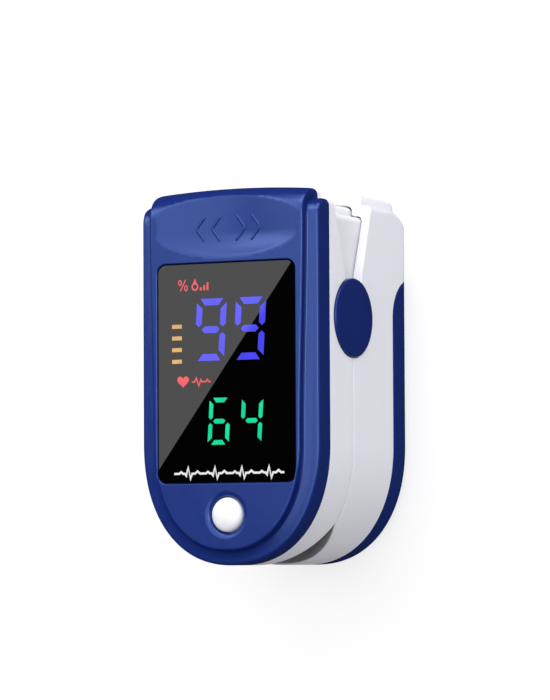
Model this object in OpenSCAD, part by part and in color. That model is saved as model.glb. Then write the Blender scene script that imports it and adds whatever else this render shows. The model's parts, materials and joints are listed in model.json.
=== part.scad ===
// Fingertip pulse oximeter: a sprung clamp of two jaws that closes on a fingertip.
// +Z is up, with the display on top. The finger goes in at -Y, and the thumb squeezes the +Y end.
// The origin is on the surface that it stands on, in the middle of the body. All sizes are millimetres.

/* [Body] */
// Width of the body over its flat sides
body_w = 31.2; // [30:0.1:36]
// Length of the body from the finger end to the squeezed end
body_l = 58.3; // [57:0.1:62]
// Height from the resting face to the flat top
body_h = 32.4; // [32:0.2:34]
// Length of the rounded nose at the finger end
nose_l = 19; // [17:0.5:20]
// How far the side shoulders stop short of the squeezed end
shoulder_back = 2.2; // [1.5:0.1:3]
// Half width of the raised middle, which runs to the squeezed end
middle_half = 13.6; // [13.5:0.1:14.2]
// Wall thickness of the outer shells
wall = 1.6; // [1.4:0.1:1.7]
// Radius of the rounded bottom edge
foot_r = 3; // [2:0.2:3.2]

/* [Jaws] */
// Height of the parting line, and of the hinge pin
part_z = 19.8; // [19.6:0.1:20]
// Distance of the hinge pin from the middle of the body
pivot_y = 9; // [8.6:0.1:9.4]
// Angle that the jaws open to when squeezed, in degrees
open_angle = 20; // [10:1:20]
// Rise of the upper shell's edge behind the hinge, per millimetre
upper_rise = 0.33; // [0.3:0.01:0.34]
// Fall of the lower shell's edge behind the hinge, per millimetre
lower_fall = 0.29; // [0.27:0.01:0.3]
// Radius of the round caps over the hinge pin's ends
cap_r = 6.15; // [5.8:0.05:6.3]
// Radius of the hinge pin
pin_r = 1; // [0.9:0.05:1.1]

/* [Finger channel] */
// Height of the closed channel in its middle
channel_h = 8; // [7:0.2:8.4]
// Radius of the arc of each pad's surface
channel_r = 10.8; // [10.6:0.1:11]
// Thickness of the soft pads
pad_t = 1.2; // [0.8:0.1:1.3]
// Where the fingertip stops, from the middle of the body
stop_y = 3.4; // [2.5:0.1:3.6]
// Place of the light sensor along the channel
sensor_y = -7; // [-9:0.5:-5]

/* [Display] */
// Width of the display window
window_w = 24.2; // [22:0.1:24.4]
// Height of the display window
window_l = 33.9; // [32:0.1:34]
// Height of the saturation digits
spo2_h = 9.6; // [8:0.1:10]
// Height of the pulse digits
pulse_h = 7.2; // [6:0.1:7.5]
// Lean of the digits, sideways per millimetre of height
digit_lean = 0.06; // [0:0.01:0.1]

/* [Power button] */
// Radius of the power button
button_r = 2.7; // [2.4:0.1:2.8]
// Distance of the button in front of the middle of the body
button_back = 21.4; // [21:0.1:21.6]
// Travel of the button
button_travel = 0.3; // [0.2:0.05:0.3]

/* [Batteries] */
// Diameter of an AAA cell
cell_d = 10.5; // [10.1:0.1:10.5]
// Length of an AAA cell with its positive nub
cell_l = 44.5; // [43.9:0.1:44.5]
// Height of the battery door's flanks
door_h = 6.2; // [5.4:0.1:6.4]

/* [Hidden] */

$fn = 64;
big = 80;            // longer than the whole body, for cutters
eps = 0.01;          // overlap that keeps cuts clean
half_w = body_w / 2;
end_y = body_l / 2;
shoulder_y = end_y - shoulder_back;
nose_y = nose_l - end_y;
nose_power = 2.2;    // 2 would be a plain ellipse
end_bow = 0.5;      // how far the squeezed end bows out in its middle
corner_r = 1.1;      // corners of the squeezed end, in plan
split = 0.1;         // half the gap at the parting line
frame_inset = wall + 0.4;
frame_t = 1.2;       // wall of the inner frames

// Heights in the upper jaw, from the top down
cover_z = body_h - 4.4;
seam_z = body_h - 5;  // the cover's rim reaches below its seat, down to here
flange_z = body_h - 1.3;
pane_z = body_h - 0.85;
pane_t = 0.8;
ledge_z = pane_z - 0.15;
ceiling_z = body_h - 2;
board_top = cover_z - 0.1;
board_t = 1;
plate_z = 24.9;
plate_t = 1;

// Heights in the lower jaw, from the bottom up
floor_t = 1.6;
door_t = 1.4;
cell_z = 1.7 + cell_d / 2;
deck_z = 12.4;
deck_t = 0.7;
frame_z = deck_z + deck_t + 0.1;

// The channel is a lens between two arcs; each arc's centre lies this far past the parting line
arc_lift = channel_r - channel_h / 2;
trough_r = channel_r + pad_t;
mouth_half_w = 12.4;
mouth_up = 3.5;      // how far the mouth rises over the parting line
mouth_down = 5.6;    // how far it drops under it
mouth_up_r = (mouth_half_w * mouth_half_w / mouth_up + mouth_up) / 2;
mouth_down_r = (mouth_half_w * mouth_half_w / mouth_down + mouth_down) / 2;

roll_top_r = 3.8;    // rounding of the raised middle into the squeezed end
roll_side_r = 2.8;   // the same for the shoulders of the cover
roll_foot = [5.4, 7.6]; // rounding of the lower shoulders, along Y and Z
roll_end = [3, 3.4];    // the same for the lower middle
dish_depth = 0.95;
dish_y0 = 18.5;      // front edge of the thumb dish
dish_y1 = 20.9;      // where the dish reaches its full depth
dish_half = 12.6;

window_cy = 0.5;
cell_x = cell_d / 2 + 0.05;
cell_front = -20.2;
cell_back = cell_front + cell_l;
contact_y = cell_front - 1.75; // front face of the two contacts at the finger end
skirt_gap = wall + 0.15;   // the skirts' inset, which leaves a slip fit in the lower shell
skirt_t = 1;
skirt_out = half_w - skirt_gap;
skirt_in = skirt_out - skirt_t;
ear_out = skirt_in - 0.35;
ear_in = ear_out - 1.2;
skirt_low_z = 12.6;
cap_pocket_r = cap_r + 0.15;
cap_pocket = 0.8;
cap_proud = 0.5;
wire_r = 0.35;
coil_r = 2.5;
coil_turns = 3;
front_boss = [10.6, -18.6];
rear_boss = [10.8, 20.6];
tray_boss = [[9.7, -12], [9.7, 1]];
screw_r = 0.7;
screw_hole_r = 0.72;

blue = [0.13, 0.2, 0.5];
white = [0.9, 0.9, 0.94];
rubber = [0.42, 0.43, 0.46];
steel = [0.72, 0.73, 0.75];
board_green = [0.1, 0.35, 0.2];

// ---------- plan outlines ----------

function arc_points(c, r, a0, a1, n = 6) =
    [for (i = [0:n]) let (a = a0 + (a1 - a0) * i / n) c + r * [cos(a), sin(a)]];

// The nose is a superellipse, a little fuller than an ellipse
function fuller(v) = sign(v) * pow(abs(v), 2 / nose_power);

function nose_points(hw, len, n = 36) =
    [for (i = [0:n]) let (a = -180 * i / n) [hw * fuller(cos(a)), nose_y + len * fuller(sin(a))]];

function mirrored(points) = [for (i = [len(points) - 1:-1:0]) [-points[i].x, points[i].y]];

function bowed_end(hw, y, r) = let (
    left = arc_points([-hw + r, y - end_bow - r], r, 180, 90),
    crown = [for (i = [-2:2]) [i * hw / 3, y - end_bow * pow(i / 3, 2)]])
    concat(left, crown, mirrored(left));

// Flanks and shoulders, without the raised middle
function shoulder_outline(d) = let (
    hw = half_w - d,
    left = arc_points([-hw + corner_r, shoulder_y - d - corner_r], corner_r, 180, 90))
    concat(nose_points(hw, nose_l - d), left, mirrored(left));

// The raised middle, which reaches the squeezed end
function middle_outline(d) = let (hw = middle_half - d, back = half_w - middle_half)
    concat(nose_points(hw, nose_l - back - d), bowed_end(hw, end_y - d, corner_r));

// The whole body: both of the above. The two ends can be set in further than the sides
function body_outline(d, shoulder_d = undef, end_d = undef) = let (
    hw = half_w - d,
    y = shoulder_y - (shoulder_d == undef ? d : shoulder_d),
    left = concat(arc_points([-hw + corner_r, y - corner_r], corner_r, 180, 90),
        [[d - middle_half, y]]),
    end = bowed_end(middle_half - d, end_y - (end_d == undef ? d : end_d), corner_r))
    concat(nose_points(hw, nose_l - d), left, end, mirrored(left));

function rounded_box(w, l, r) = concat(
    arc_points([w / 2 - r, l / 2 - r], r, 0, 90), arc_points([r - w / 2, l / 2 - r], r, 90, 180),
    arc_points([r - w / 2, r - l / 2], r, 180, 270), arc_points([w / 2 - r, r - l / 2], r, 270, 360));

module slab(points, z0, z1) {
    translate([0, 0, z0]) linear_extrude(z1 - z0) polygon(points);
}

// A wall that follows an outline, between two insets
module body_ring(d0, d1, z0, z1) {
    difference() {
        slab(body_outline(d0), z0, z1);
        slab(body_outline(d1), z0 - 1, z1 + 1);
    }
}

// Extrudes a profile drawn in Y and Z between two places on X
module along_x(points, x0, x1) {
    translate([x0, 0, 0]) rotate([90, 0, 90]) linear_extrude(x1 - x0) polygon(points);
}

// Extrudes a profile drawn in X and Z between two places on Y
module along_x_z(points, y0, y1) {
    translate([0, y1, 0]) rotate([90, 0, 0]) linear_extrude(y1 - y0) polygon(points);
}

module along_y(r, x, z, y0, y1) {
    translate([x, y0, z]) rotate([-90, 0, 0]) cylinder(r = r, h = y1 - y0);
}

module box(lo, hi) {
    translate(lo) cube(hi - lo);
}

module both_sides() {
    children();
    mirror([1, 0, 0]) children();
}

module on_pivot(r, x0, x1) {
    translate([x0, pivot_y, part_z]) rotate([0, 90, 0]) cylinder(r = r, h = x1 - x0);
}

// Solid between stacked rings of equal length, each [z, points]
module loft(rings) {
    n = len(rings[0][1]);
    m = len(rings);
    polyhedron(
        points = [for (r = rings) each [for (p = r[1]) [p.x, p.y, r[0]]]],
        faces = concat(
            [[for (i = [0:n - 1]) i]],
            [for (k = [0:m - 2]) each [for (i = [0:n - 1]) let (j = (i + 1) % n)
                [k * n + i, (k + 1) * n + i, (k + 1) * n + j, k * n + j]]],
            [[for (i = [n - 1:-1:0]) (m - 1) * n + i]]));
}

// Tube of radius r along a path that never runs along the axis
module wire(path, r, axis, sides = 8) {
    n = len(path);
    unit = [for (i = [0:n - 1]) let (t = path[min(i + 1, n - 1)] - path[max(i - 1, 0)]) t / norm(t)];
    ring = [for (i = [0:n - 1]) let (
        u = cross(unit[i], axis) / norm(cross(unit[i], axis)),
        v = cross(unit[i], u))
        [for (k = [0:sides - 1]) path[i] + r * (cos(360 * k / sides) * u + sin(360 * k / sides) * v)]];
    polyhedron(
        points = [for (q = ring) each q],
        faces = concat(
            [[for (k = [0:sides - 1]) k]],
            [for (i = [0:n - 2]) each [for (k = [0:sides - 1]) let (m = (k + 1) % sides)
                [i * sides + k, (i + 1) * sides + k, (i + 1) * sides + m, i * sides + m]]],
            [[for (k = [sides - 1:-1:0]) (n - 1) * sides + k]]));
}

// ---------- shared cutters ----------

// The lens-shaped finger channel, of arc radius r, from y0 to y1; side is 1 above, -1 below
module channel_half(side, r, y0, y1) {
    along_y(r, 0, part_z - side * arc_lift, y0, y1);
}

// The wider mouth in the outer shells
module mouth() {
    intersection() {
        along_y(mouth_up_r, 0, part_z + mouth_up - mouth_up_r, -big / 2, nose_y - 4);
        along_y(mouth_down_r, 0, part_z - mouth_down + mouth_down_r, -big / 2, nose_y - 4);
    }
}

// The wedge behind the hinge: the gap that closes as the jaws are squeezed
module squeeze_gap() {
    apex_up = pivot_y - 0.8;
    apex_low = pivot_y - 3.8;
    along_x([[apex_up, part_z], [apex_low, part_z], [big / 2, part_z - lower_fall * (big / 2 - apex_low)],
        [big / 2, part_z + upper_rise * (big / 2 - apex_up)]], -big / 2, big / 2);
}

module cap_pockets() {
    both_sides() on_pivot(cap_pocket_r, half_w - cap_pocket, half_w + 1);
}

module pin_clearance() {
    on_pivot(pin_r + 1.2, -big / 2, big / 2);
}

// The way that the door's latch tongue takes out past the finger end
module tongue_way() {
    box([-2, -big / 2, floor_t + eps], [2, 0, floor_t + 1.1]);
}

// What the battery door fills, grown by a clearance c
module door_zone(c) {
    h = door_h + c;
    along_x(concat([[-big / 2, -1], [-big / 2, h]],
        [for (i = [0:8]) let (a = 90 - 90 * i / 8) [9.6 + (6.4 + c) * cos(a), h * sin(a)]],
        [[16 + c, -1]]), -big / 2, big / 2);
}

// ---------- lower jaw ----------

// Outline of a cutter that rounds a bottom edge at y, by r
function roll_under(y, r, n = 8) = concat([[y + 1, -1], [y - r.x, -1]],
    [for (i = [0:n]) let (a = 90 * i / n) [y - r.x + r.x * sin(a), r.y - r.y * cos(a)]],
    [[y + 1, r.y]]);

module lower_outer() {
    difference() {
        slab(body_outline(0), 0, part_z - split);
        // rounded bottom edge: along the sides, then in short runs round the nose
        both_sides() along_x_z(roll_under(half_w, [foot_r, foot_r]), -big / 2, big / 2);
        for (a = [15:15:165]) foot_run(a);
        // rolled shoulders and rolled middle at the squeezed end
        both_sides() along_x(roll_under(shoulder_y, roll_foot), middle_half, big / 2);
        along_x(roll_under(end_y, roll_end), -middle_half, middle_half);
    }
}

// A rounding cutter that touches the nose's outline at the angle a
module foot_run(a) {
    at = [half_w * fuller(cos(a)), nose_y - nose_l * fuller(sin(a))];
    slope = function (v) sign(v) * pow(abs(v), 2 - 2 / nose_power);
    normal = atan2(-slope(sin(a)) / nose_l, slope(cos(a)) / half_w);
    translate(at) rotate([0, 0, normal])
        along_x_z(roll_under(0, [foot_r, foot_r]), -big / 2, big / 2);
}

module lower_shell() {
    sill_in = 3;
    sill_z = door_h + 0.7;
    color(white) difference() {
        union() {
            difference() {
                lower_outer();
                difference() {
                    slab(body_outline(wall), floor_t, part_z + 1);
                    // solid corners behind the rolled shoulders
                    both_sides() box([middle_half - 1.8, 19.8, 0], [half_w, end_y, sill_z]);
                }
                door_zone(0.1);
            }
            // a lip and two rails that the door slides on
            intersection() {
                body_ring(1.05, wall + 0.3, floor_t + 0.1, sill_z);
                box([-big, -big, 0], [big, 14, big]);
            }
            both_sides() intersection() {
                body_ring(1.05, sill_in, floor_t + 0.1, sill_z);
                box([0, nose_y - 4, 0], [big, 14, big]);
            }
        }
        both_sides() box([half_w - 1.65, -big / 2, 4.4], [half_w, 8.3, 5.5]);
        tongue_way();
        squeeze_gap();
        mouth();
        cap_pockets();
        pin_clearance();
    }
}

module battery_tray() {
    front = contact_y - 0.75;
    back = 25.8;
    waist_y = 20.3;      // behind this the tray is narrower, which leaves the skirts their room
    waist = middle_half - skirt_gap - skirt_t - 0.15;
    color(white) difference() {
        union() {
            box([-12, -19.4, deck_z], [12, waist_y, deck_z + deck_t]);
            box([-waist, waist_y - eps, deck_z], [waist, back + 0.8, deck_z + deck_t]);
            intersection() {
                slab(body_outline(wall + 0.02), deck_z, deck_z + deck_t);
                box([-big, front + 0.1, 0], [big, 2, big]);
            }
            both_sides() box([11, -18, floor_t + 0.2], [12, waist_y, deck_z + eps]);
            box([-9.4, front, floor_t + 0.2], [9.4, front + 0.7, deck_z + deck_t]);
            box([-waist, back, floor_t + 0.2], [waist, back + 0.8, deck_z + eps]);
        }
        for (p = tray_boss)
            both_sides() translate([p.x, p.y, deck_z - 1]) cylinder(r = 0.9, h = 3);
        tongue_way();
    }
}

module lower_frame() {
    back = stop_y + 1.8;
    color(white) difference() {
        union() {
            difference() {
                intersection() {
                    slab(body_outline(frame_inset), frame_z, part_z - 3 * split);
                    box([-big, -big, 0], [big, back, big]);
                }
                // hollow underneath, with a wall of frame_t all round the trough
                difference() {
                    intersection() {
                        slab(body_outline(frame_inset + frame_t), frame_z - 1, part_z - 1.5);
                        box([-big, -big, 0], [big, back - frame_t, big]);
                    }
                    channel_half(-1, trough_r + frame_t, -big / 2, big / 2);
                    for (p = tray_boss)
                        both_sides() translate([p.x, p.y, 0]) cylinder(r = 1.7, h = big);
                }
            }
            // foot of the hinge ears
            box([-ear_out, back - eps, frame_z], [ear_out, pivot_y + 3.2, frame_z + 1]);
            both_sides() {
                box([ear_in, pivot_y - 3.2, frame_z], [ear_out, pivot_y + 3.2, part_z]);
                on_pivot(3.2, ear_in, ear_out);
            }
        }
        channel_half(-1, trough_r, -big / 2, stop_y);
        mouth_flare(-1);
        // way for the ribbon and the sensor board
        box([-3.3, sensor_y - 3.2, 0], [3.3, big, frame_z + 1.1]);
        translate([0, sensor_y, 0]) cylinder(r = 2.2, h = big);
        for (p = tray_boss)
            both_sides() translate([p.x, p.y, 0]) cylinder(r = screw_hole_r, h = 17);
        on_pivot(pin_r, -big / 2, big / 2);
    }
}

// Widens the channel's mouth behind the shells, so a finger slides in
module mouth_flare(side) {
    translate([0, -end_y - 4, part_z - side * (arc_lift - 1)]) rotate([-90, 0, 0])
        cylinder(r1 = trough_r + 3.4, r2 = trough_r - 1.1, h = 11);
}

// A soft lining of one half of the channel, with a hole for its lens
module pad(side) {
    z0 = side > 0 ? part_z + 3 * split : 0;
    z1 = side > 0 ? big : part_z - 3 * split;
    difference() {
        intersection() {
            channel_half(side, trough_r - 0.03, -25.5, stop_y - 0.02);
            slab(body_outline(frame_inset + 0.8), z0, z1);
        }
        channel_half(side, channel_r, -big / 2, stop_y - pad_t);
        mouth_flare_pad(side);
        translate([0, sensor_y, 0]) cylinder(r = 2.2, h = big);
    }
}

module mouth_flare_pad(side) {
    translate([0, -end_y - 4, part_z - side * (arc_lift - 1)]) rotate([-90, 0, 0])
        cylinder(r1 = channel_r + 3.4, r2 = channel_r - 1.1, h = 11);
}

module lower_pad() {
    color(rubber) pad(-1);
}

module lower_lens() {
    z = part_z - channel_h / 2;
    color([0.8, 0.85, 0.9]) translate([0, sensor_y, z - 0.5]) cylinder(r = 2.1, h = 0.5);
}

module photodiode() {
    z = part_z - channel_h / 2 - 0.6;
    color([0.15, 0.15, 0.2]) box([-1.4, sensor_y - 1.4, frame_z + 0.7], [1.4, sensor_y + 1.4, z]);
}

module sensor_board() {
    color(board_green) box([-3, sensor_y - 3, frame_z + 0.05], [3, sensor_y + 6, frame_z + 0.65]);
}

// One AAA cell along Y; flip turns its positive nub to the back
module cell(x, flip) {
    nub_l = 1;
    y0 = cell_front + (flip ? 0 : nub_l);
    along_y(cell_d / 2, x, cell_z, y0, y0 + cell_l - nub_l);
    along_y(1.9, x, cell_z, flip ? y0 + cell_l - nub_l - eps : cell_front, flip ? cell_back : y0 + eps);
}

module cell_left() {
    color([0.75, 0.6, 0.2]) cell(-cell_x, false);
}

module cell_right() {
    color([0.75, 0.6, 0.2]) cell(cell_x, true);
}

module positive_plate() {
    color(steel) {
        box([-8.8, contact_y, 3.2], [-1.8, contact_y + 0.3, 10.6]);
        along_y(1.2, -cell_x, cell_z, contact_y + 0.2, cell_front - 0.02);
    }
}

// A flat conical coil with its plate, which presses on a cell's negative end
function cone_path(x, y0, y1, turns, r0, r1, n = 40) =
    [for (i = [0:n]) let (k = i / n, a = 360 * turns * k, r = r0 + (r1 - r0) * k)
        [x + r * cos(a), y0 + (y1 - y0) * k, cell_z + r * sin(a)]];

module negative_spring() {
    color(steel) {
        box([1.8, contact_y, 3.2], [8.8, contact_y + 0.3, 10.6]);
        wire(cone_path(cell_x, contact_y + 0.35, cell_front - 0.3, 2, 3.2, 1.8), 0.25, [0, 1, 0]);
    }
}

module link_plate() {
    color(steel) {
        box([-9, 25.5, 3.2], [9, 25.8, 10.6]);
        wire(cone_path(-cell_x, 25.4, cell_back + 0.25, 2.5, 3.4, 1.8), 0.25, [0, 1, 0]);
        along_y(1.4, cell_x, cell_z, cell_back + 0.02, 25.6);
    }
}

module hinge_pin() {
    color(steel) on_pivot(pin_r, cap_pocket - 0.05 - half_w, half_w - cap_pocket + 0.05);
}

// Torsion spring on the pin: a leg on the deck, the coil, and a leg under the upper plate.
// Squeezing the jaws brings the legs together, which winds the coil tighter.
function coil_path(x0, x1) = let (
    low_lean = -23,
    up_lean = 15,
    a0 = low_lean - 90,
    a1 = 90 + up_lean - 360 * (coil_turns + 1),
    n = coil_turns * 18,
    at = function (a, x) [x, pivot_y + coil_r * cos(a), part_z + coil_r * sin(a)],
    low = [0, cos(low_lean), sin(low_lean)],
    up = [0, cos(up_lean), sin(up_lean)])
    concat([for (l = [10, 6.5, 3]) at(a0, x0) + l * low],
        [for (i = [0:n]) at(a0 + (a1 - a0) * i / n, x0 + (x1 - x0) * i / n)],
        [for (l = [3, 6, 8.8]) at(a1, x1) + l * up]);

module torsion_spring_right() {
    color(steel) wire(coil_path(8, 10.6), wire_r, [1, 0, 0]);
}

module torsion_spring_left() {
    color(steel) mirror([1, 0, 0]) wire(coil_path(8, 10.6), wire_r, [1, 0, 0]);
}

module pivot_cap() {
    color(blue) {
        on_pivot(cap_r, half_w - cap_pocket + 0.05, half_w + cap_proud - 0.25);
        on_pivot(cap_r - 0.3, half_w, half_w + cap_proud);
    }
}

module pivot_cap_right() {
    pivot_cap();
}

module pivot_cap_left() {
    mirror([1, 0, 0]) pivot_cap();
}

module screw(p, z, l, head_r) {
    translate([p.x, p.y, z]) {
        difference() {
            translate([0, 0, -1]) cylinder(r = head_r, h = 1);
            translate([0, 0, -1 - eps]) for (a = [0, 90]) rotate([0, 0, a])
                translate([-0.8, -0.15, 0]) cube([1.6, 0.3, 0.5]);
        }
        translate([0, 0, -eps]) cylinder(r = screw_r, h = l);
    }
}

module tray_screws() {
    color(steel) for (p = tray_boss) both_sides() screw(p, deck_z, 4.2, 1.15);
}

// Flat flex from the main board, past the hinge, to the sensor board
module jaw_ribbon() {
    y = 15.8;
    low = frame_z + 0.2;
    color([0.75, 0.45, 0.15]) {
        box([-2.5, y, low], [2.5, y + 0.2, cover_z - board_t - 0.15]);
        box([-2.5, sensor_y + 6.05, low], [2.5, y + 0.2, low + 0.2]);
    }
}

// ---------- upper jaw ----------

function roll_over(y, z, r) = concat([[y + 1, z + 1], [y - r, z + 1]],
    [for (i = [0:12]) let (a = 90 * i / 12) [y - r + r * sin(a), z - r + r * cos(a)]],
    [[y + 1, z - r]]);

module cover_outer() {
    difference() {
        slab(shoulder_outline(0), cover_z, flange_z);
        along_x(roll_over(shoulder_y, flange_z, roll_side_r), -big / 2, big / 2);
    }
    difference() {
        slab(middle_outline(0.25), cover_z, body_h);
        along_x(roll_over(end_y - 0.25, body_h, roll_top_r), -big / 2, big / 2);
        thumb_dish();
    }
}

// A dish for the thumb: a broad cylinder along Y with a sloping front
module thumb_dish() {
    big_r = (dish_half * dish_half / dish_depth + dish_depth) / 2;
    z = body_h - dish_depth + big_r;
    along_y(big_r, 0, z, dish_y1, end_y + 5);
    translate([0, dish_y0, z]) rotate([-90, 0, 0])
        cylinder(r1 = big_r - dish_depth, r2 = big_r, h = dish_y1 - dish_y0 + eps);
}

// The cover's rim, which continues the shell's wall
module cover_rim() {
    difference() {
        union() {
            slab(shoulder_outline(0), seam_z, cover_z + eps);
            slab(middle_outline(0.25), seam_z, cover_z + eps);
        }
        slab(body_outline(wall), seam_z - 1, cover_z + 1);
    }
}

module top_cover() {
    color(blue) difference() {
        union() {
            difference() {
                cover_outer();
                slab(middle_outline(1.8), cover_z - 1, ceiling_z);
            }
            cover_rim();
            for (p = [front_boss, rear_boss]) both_sides() translate([p.x, p.y, cover_z])
                cylinder(r = 1.6, h = ceiling_z - cover_z + eps);
            translate([0, -button_back, ceiling_z - 0.85])
                cylinder(r = button_r + 1, h = 0.9);
        }
        translate([0, window_cy, 0]) {
            slab(rounded_box(window_w + 0.2, window_l + 0.2, 1.5), ledge_z, big);
            slab(rounded_box(window_w - 3, window_l - 3.5, 0.8), 0, big);
        }
        translate([0, -button_back, 0]) {
            cylinder(r = button_r + 0.12, h = big);
            translate([0, 0, body_h - 0.5]) cylinder(r1 = button_r + 0.12, r2 = button_r + 1.3, h = 0.6);
        }
        for (p = [front_boss, rear_boss])
            both_sides() translate([p.x, p.y, 0]) cylinder(r = screw_hole_r, h = ceiling_z - 0.2);
    }
}

module window_tape() {
    color([0.1, 0.1, 0.1]) translate([0, window_cy, 0]) difference() {
        slab(rounded_box(window_w - 0.2, window_l - 0.2, 1.3), ledge_z, pane_z);
        slab(rounded_box(window_w - 3, window_l - 3.5, 0.8), 0, big);
    }
}

// Segments of a digit in a box w by h: bars of thickness t, named a to g
function segment(name, w, h, t) = let (
    e = 0.64,
    m = 0.7 * t + 0.32,
    top = [[e, h], [w - e, h], [w - e - 0.75 * t, h - t], [e + 0.75 * t, h - t]],
    up = [[0, h - 0.6 * t], [t, h - 1.5 * t], [t, h / 2 + 0.85 * t], [t / 2, h / 2 + 0.4 * t],
        [0, h / 2 + 0.85 * t]],
    bar = [[m, h / 2], [m + t / 2, h / 2 + t / 2], [w - m - t / 2, h / 2 + t / 2], [w - m, h / 2],
        [w - m - t / 2, h / 2 - t / 2], [m + t / 2, h / 2 - t / 2]],
    down = function (s) [for (p = s) [p.x, h - p.y]],
    right = function (s) [for (p = s) [w - p.x, p.y]])
    name == "a" ? top : name == "d" ? down(top) : name == "g" ? bar : name == "f" ? up :
    name == "e" ? down(up) : name == "b" ? right(up) : right(down(up));

module digit(lit, x, y, w, h, t, grow) {
    for (s = lit) {
        lean = [for (p = segment(s, w, h, t)) [x + p.x + digit_lean * (p.y - h / 2), y + p.y]];
        if (grow > 0) offset_bar(lean, grow);
        else polygon(lean);
    }
}

// A segment grown about its own middle
module offset_bar(points, grow) {
    n = len(points);
    c = [for (i = [0:1]) [for (p = points) p[i]] * [for (p = points) 1] / n];
    polygon([for (p = points) p + grow * (p - c) / norm(p - c)]);
}

module spo2_segments(grow = 0) {
    for (x = [-5.3, 1.6]) digit(["a", "b", "c", "d", "f", "g"], x, 2.35, 5.3, spo2_h, 1.05, grow);
}

module pulse_segments(grow = 0) {
    digit(["a", "c", "d", "e", "f", "g"], -3.05, -10.6, 3.75, pulse_h, 0.7, grow);
    digit(["b", "c", "f", "g"], 2.65, -10.6, 3.75, pulse_h, 0.7, grow);
}

module bar_segments(grow = 0) {
    for (i = [0:3]) translate([-8.65, 2.35 + 1.81 * i])
        square([1.74 + 2 * grow, 0.6 + 2 * grow], center = true);
}

module display_window() {
    gap = 0.02;
    color([0.05, 0.05, 0.06]) difference() {
        translate([0, window_cy, 0]) slab(rounded_box(window_w, window_l, 1.4), pane_z, pane_z + pane_t);
        translate([0, 0, pane_z - 1]) linear_extrude(pane_t + 2) {
            spo2_segments(gap);
            pulse_segments(gap);
            bar_segments(gap);
        }
    }
}

module spo2_digits() {
    color([0.35, 0.35, 0.95]) translate([0, 0, pane_z]) linear_extrude(pane_t) spo2_segments();
}

module pulse_digits() {
    color([0.15, 0.9, 0.6]) translate([0, 0, pane_z]) linear_extrude(pane_t) pulse_segments();
}

module signal_bars() {
    color([0.95, 0.7, 0.3]) translate([0, 0, pane_z]) linear_extrude(pane_t) bar_segments();
}

module display_module() {
    color([0.15, 0.15, 0.16])
        box([-10.3, window_cy - 14.9, board_top], [10.3, window_cy + 14.9, ledge_z - 0.05]);
}

module main_board() {
    color(board_green) difference() {
        slab(body_outline(frame_inset), board_top - board_t, board_top);
        for (p = [front_boss, rear_boss])
            both_sides() translate([p.x, p.y, 0]) cylinder(r = 0.9, h = big);
    }
}

module board_chips() {
    z = board_top - board_t;
    color([0.12, 0.12, 0.13]) {
        box([-8.5, 9.5, z - 0.95], [-3.5, 14.5, z]);
        box([3.5, 10, z - 0.9], [8, 14, z]);
        box([-7.5, 18, z - 0.9], [-4.5, 21, z]);
        box([3.6, 18.5, z - 0.95], [6.8, 20.5, z]);
        for (x = [-6, -4.4, 4.4, 6]) box([x - 0.4, 22.5, z - 0.6], [x + 0.4, 23.6, z]);
    }
}

module power_switch() {
    color([0.3, 0.3, 0.32]) translate([0, -button_back, 0]) difference() {
        box([-2, -2, board_top], [2, 2, board_top + 0.8]);
        translate([0, 0, board_top + 0.25]) cylinder(r = 0.86, h = 1);
    }
}

module switch_plunger() {
    color([0.6, 0.2, 0.15]) translate([0, -button_back, board_top + 0.6]) cylinder(r = 0.8, h = 0.5);
}

module power_button() {
    dome_r = 8;
    color(white) translate([0, -button_back, 0]) {
        translate([0, 0, board_top + 1.15]) cylinder(r = button_r + 0.7, h = 0.4);
        intersection() {
            translate([0, 0, board_top + 1.5]) cylinder(r = button_r, h = 4);
            translate([0, 0, body_h + 0.6 - dome_r]) sphere(r = dome_r);
        }
    }
}

module upper_shell() {
    color(white) difference() {
        body_ring(0, wall, part_z + split, seam_z);
        squeeze_gap();
        mouth();
        cap_pockets();
        pin_clearance();
    }
}

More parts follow.
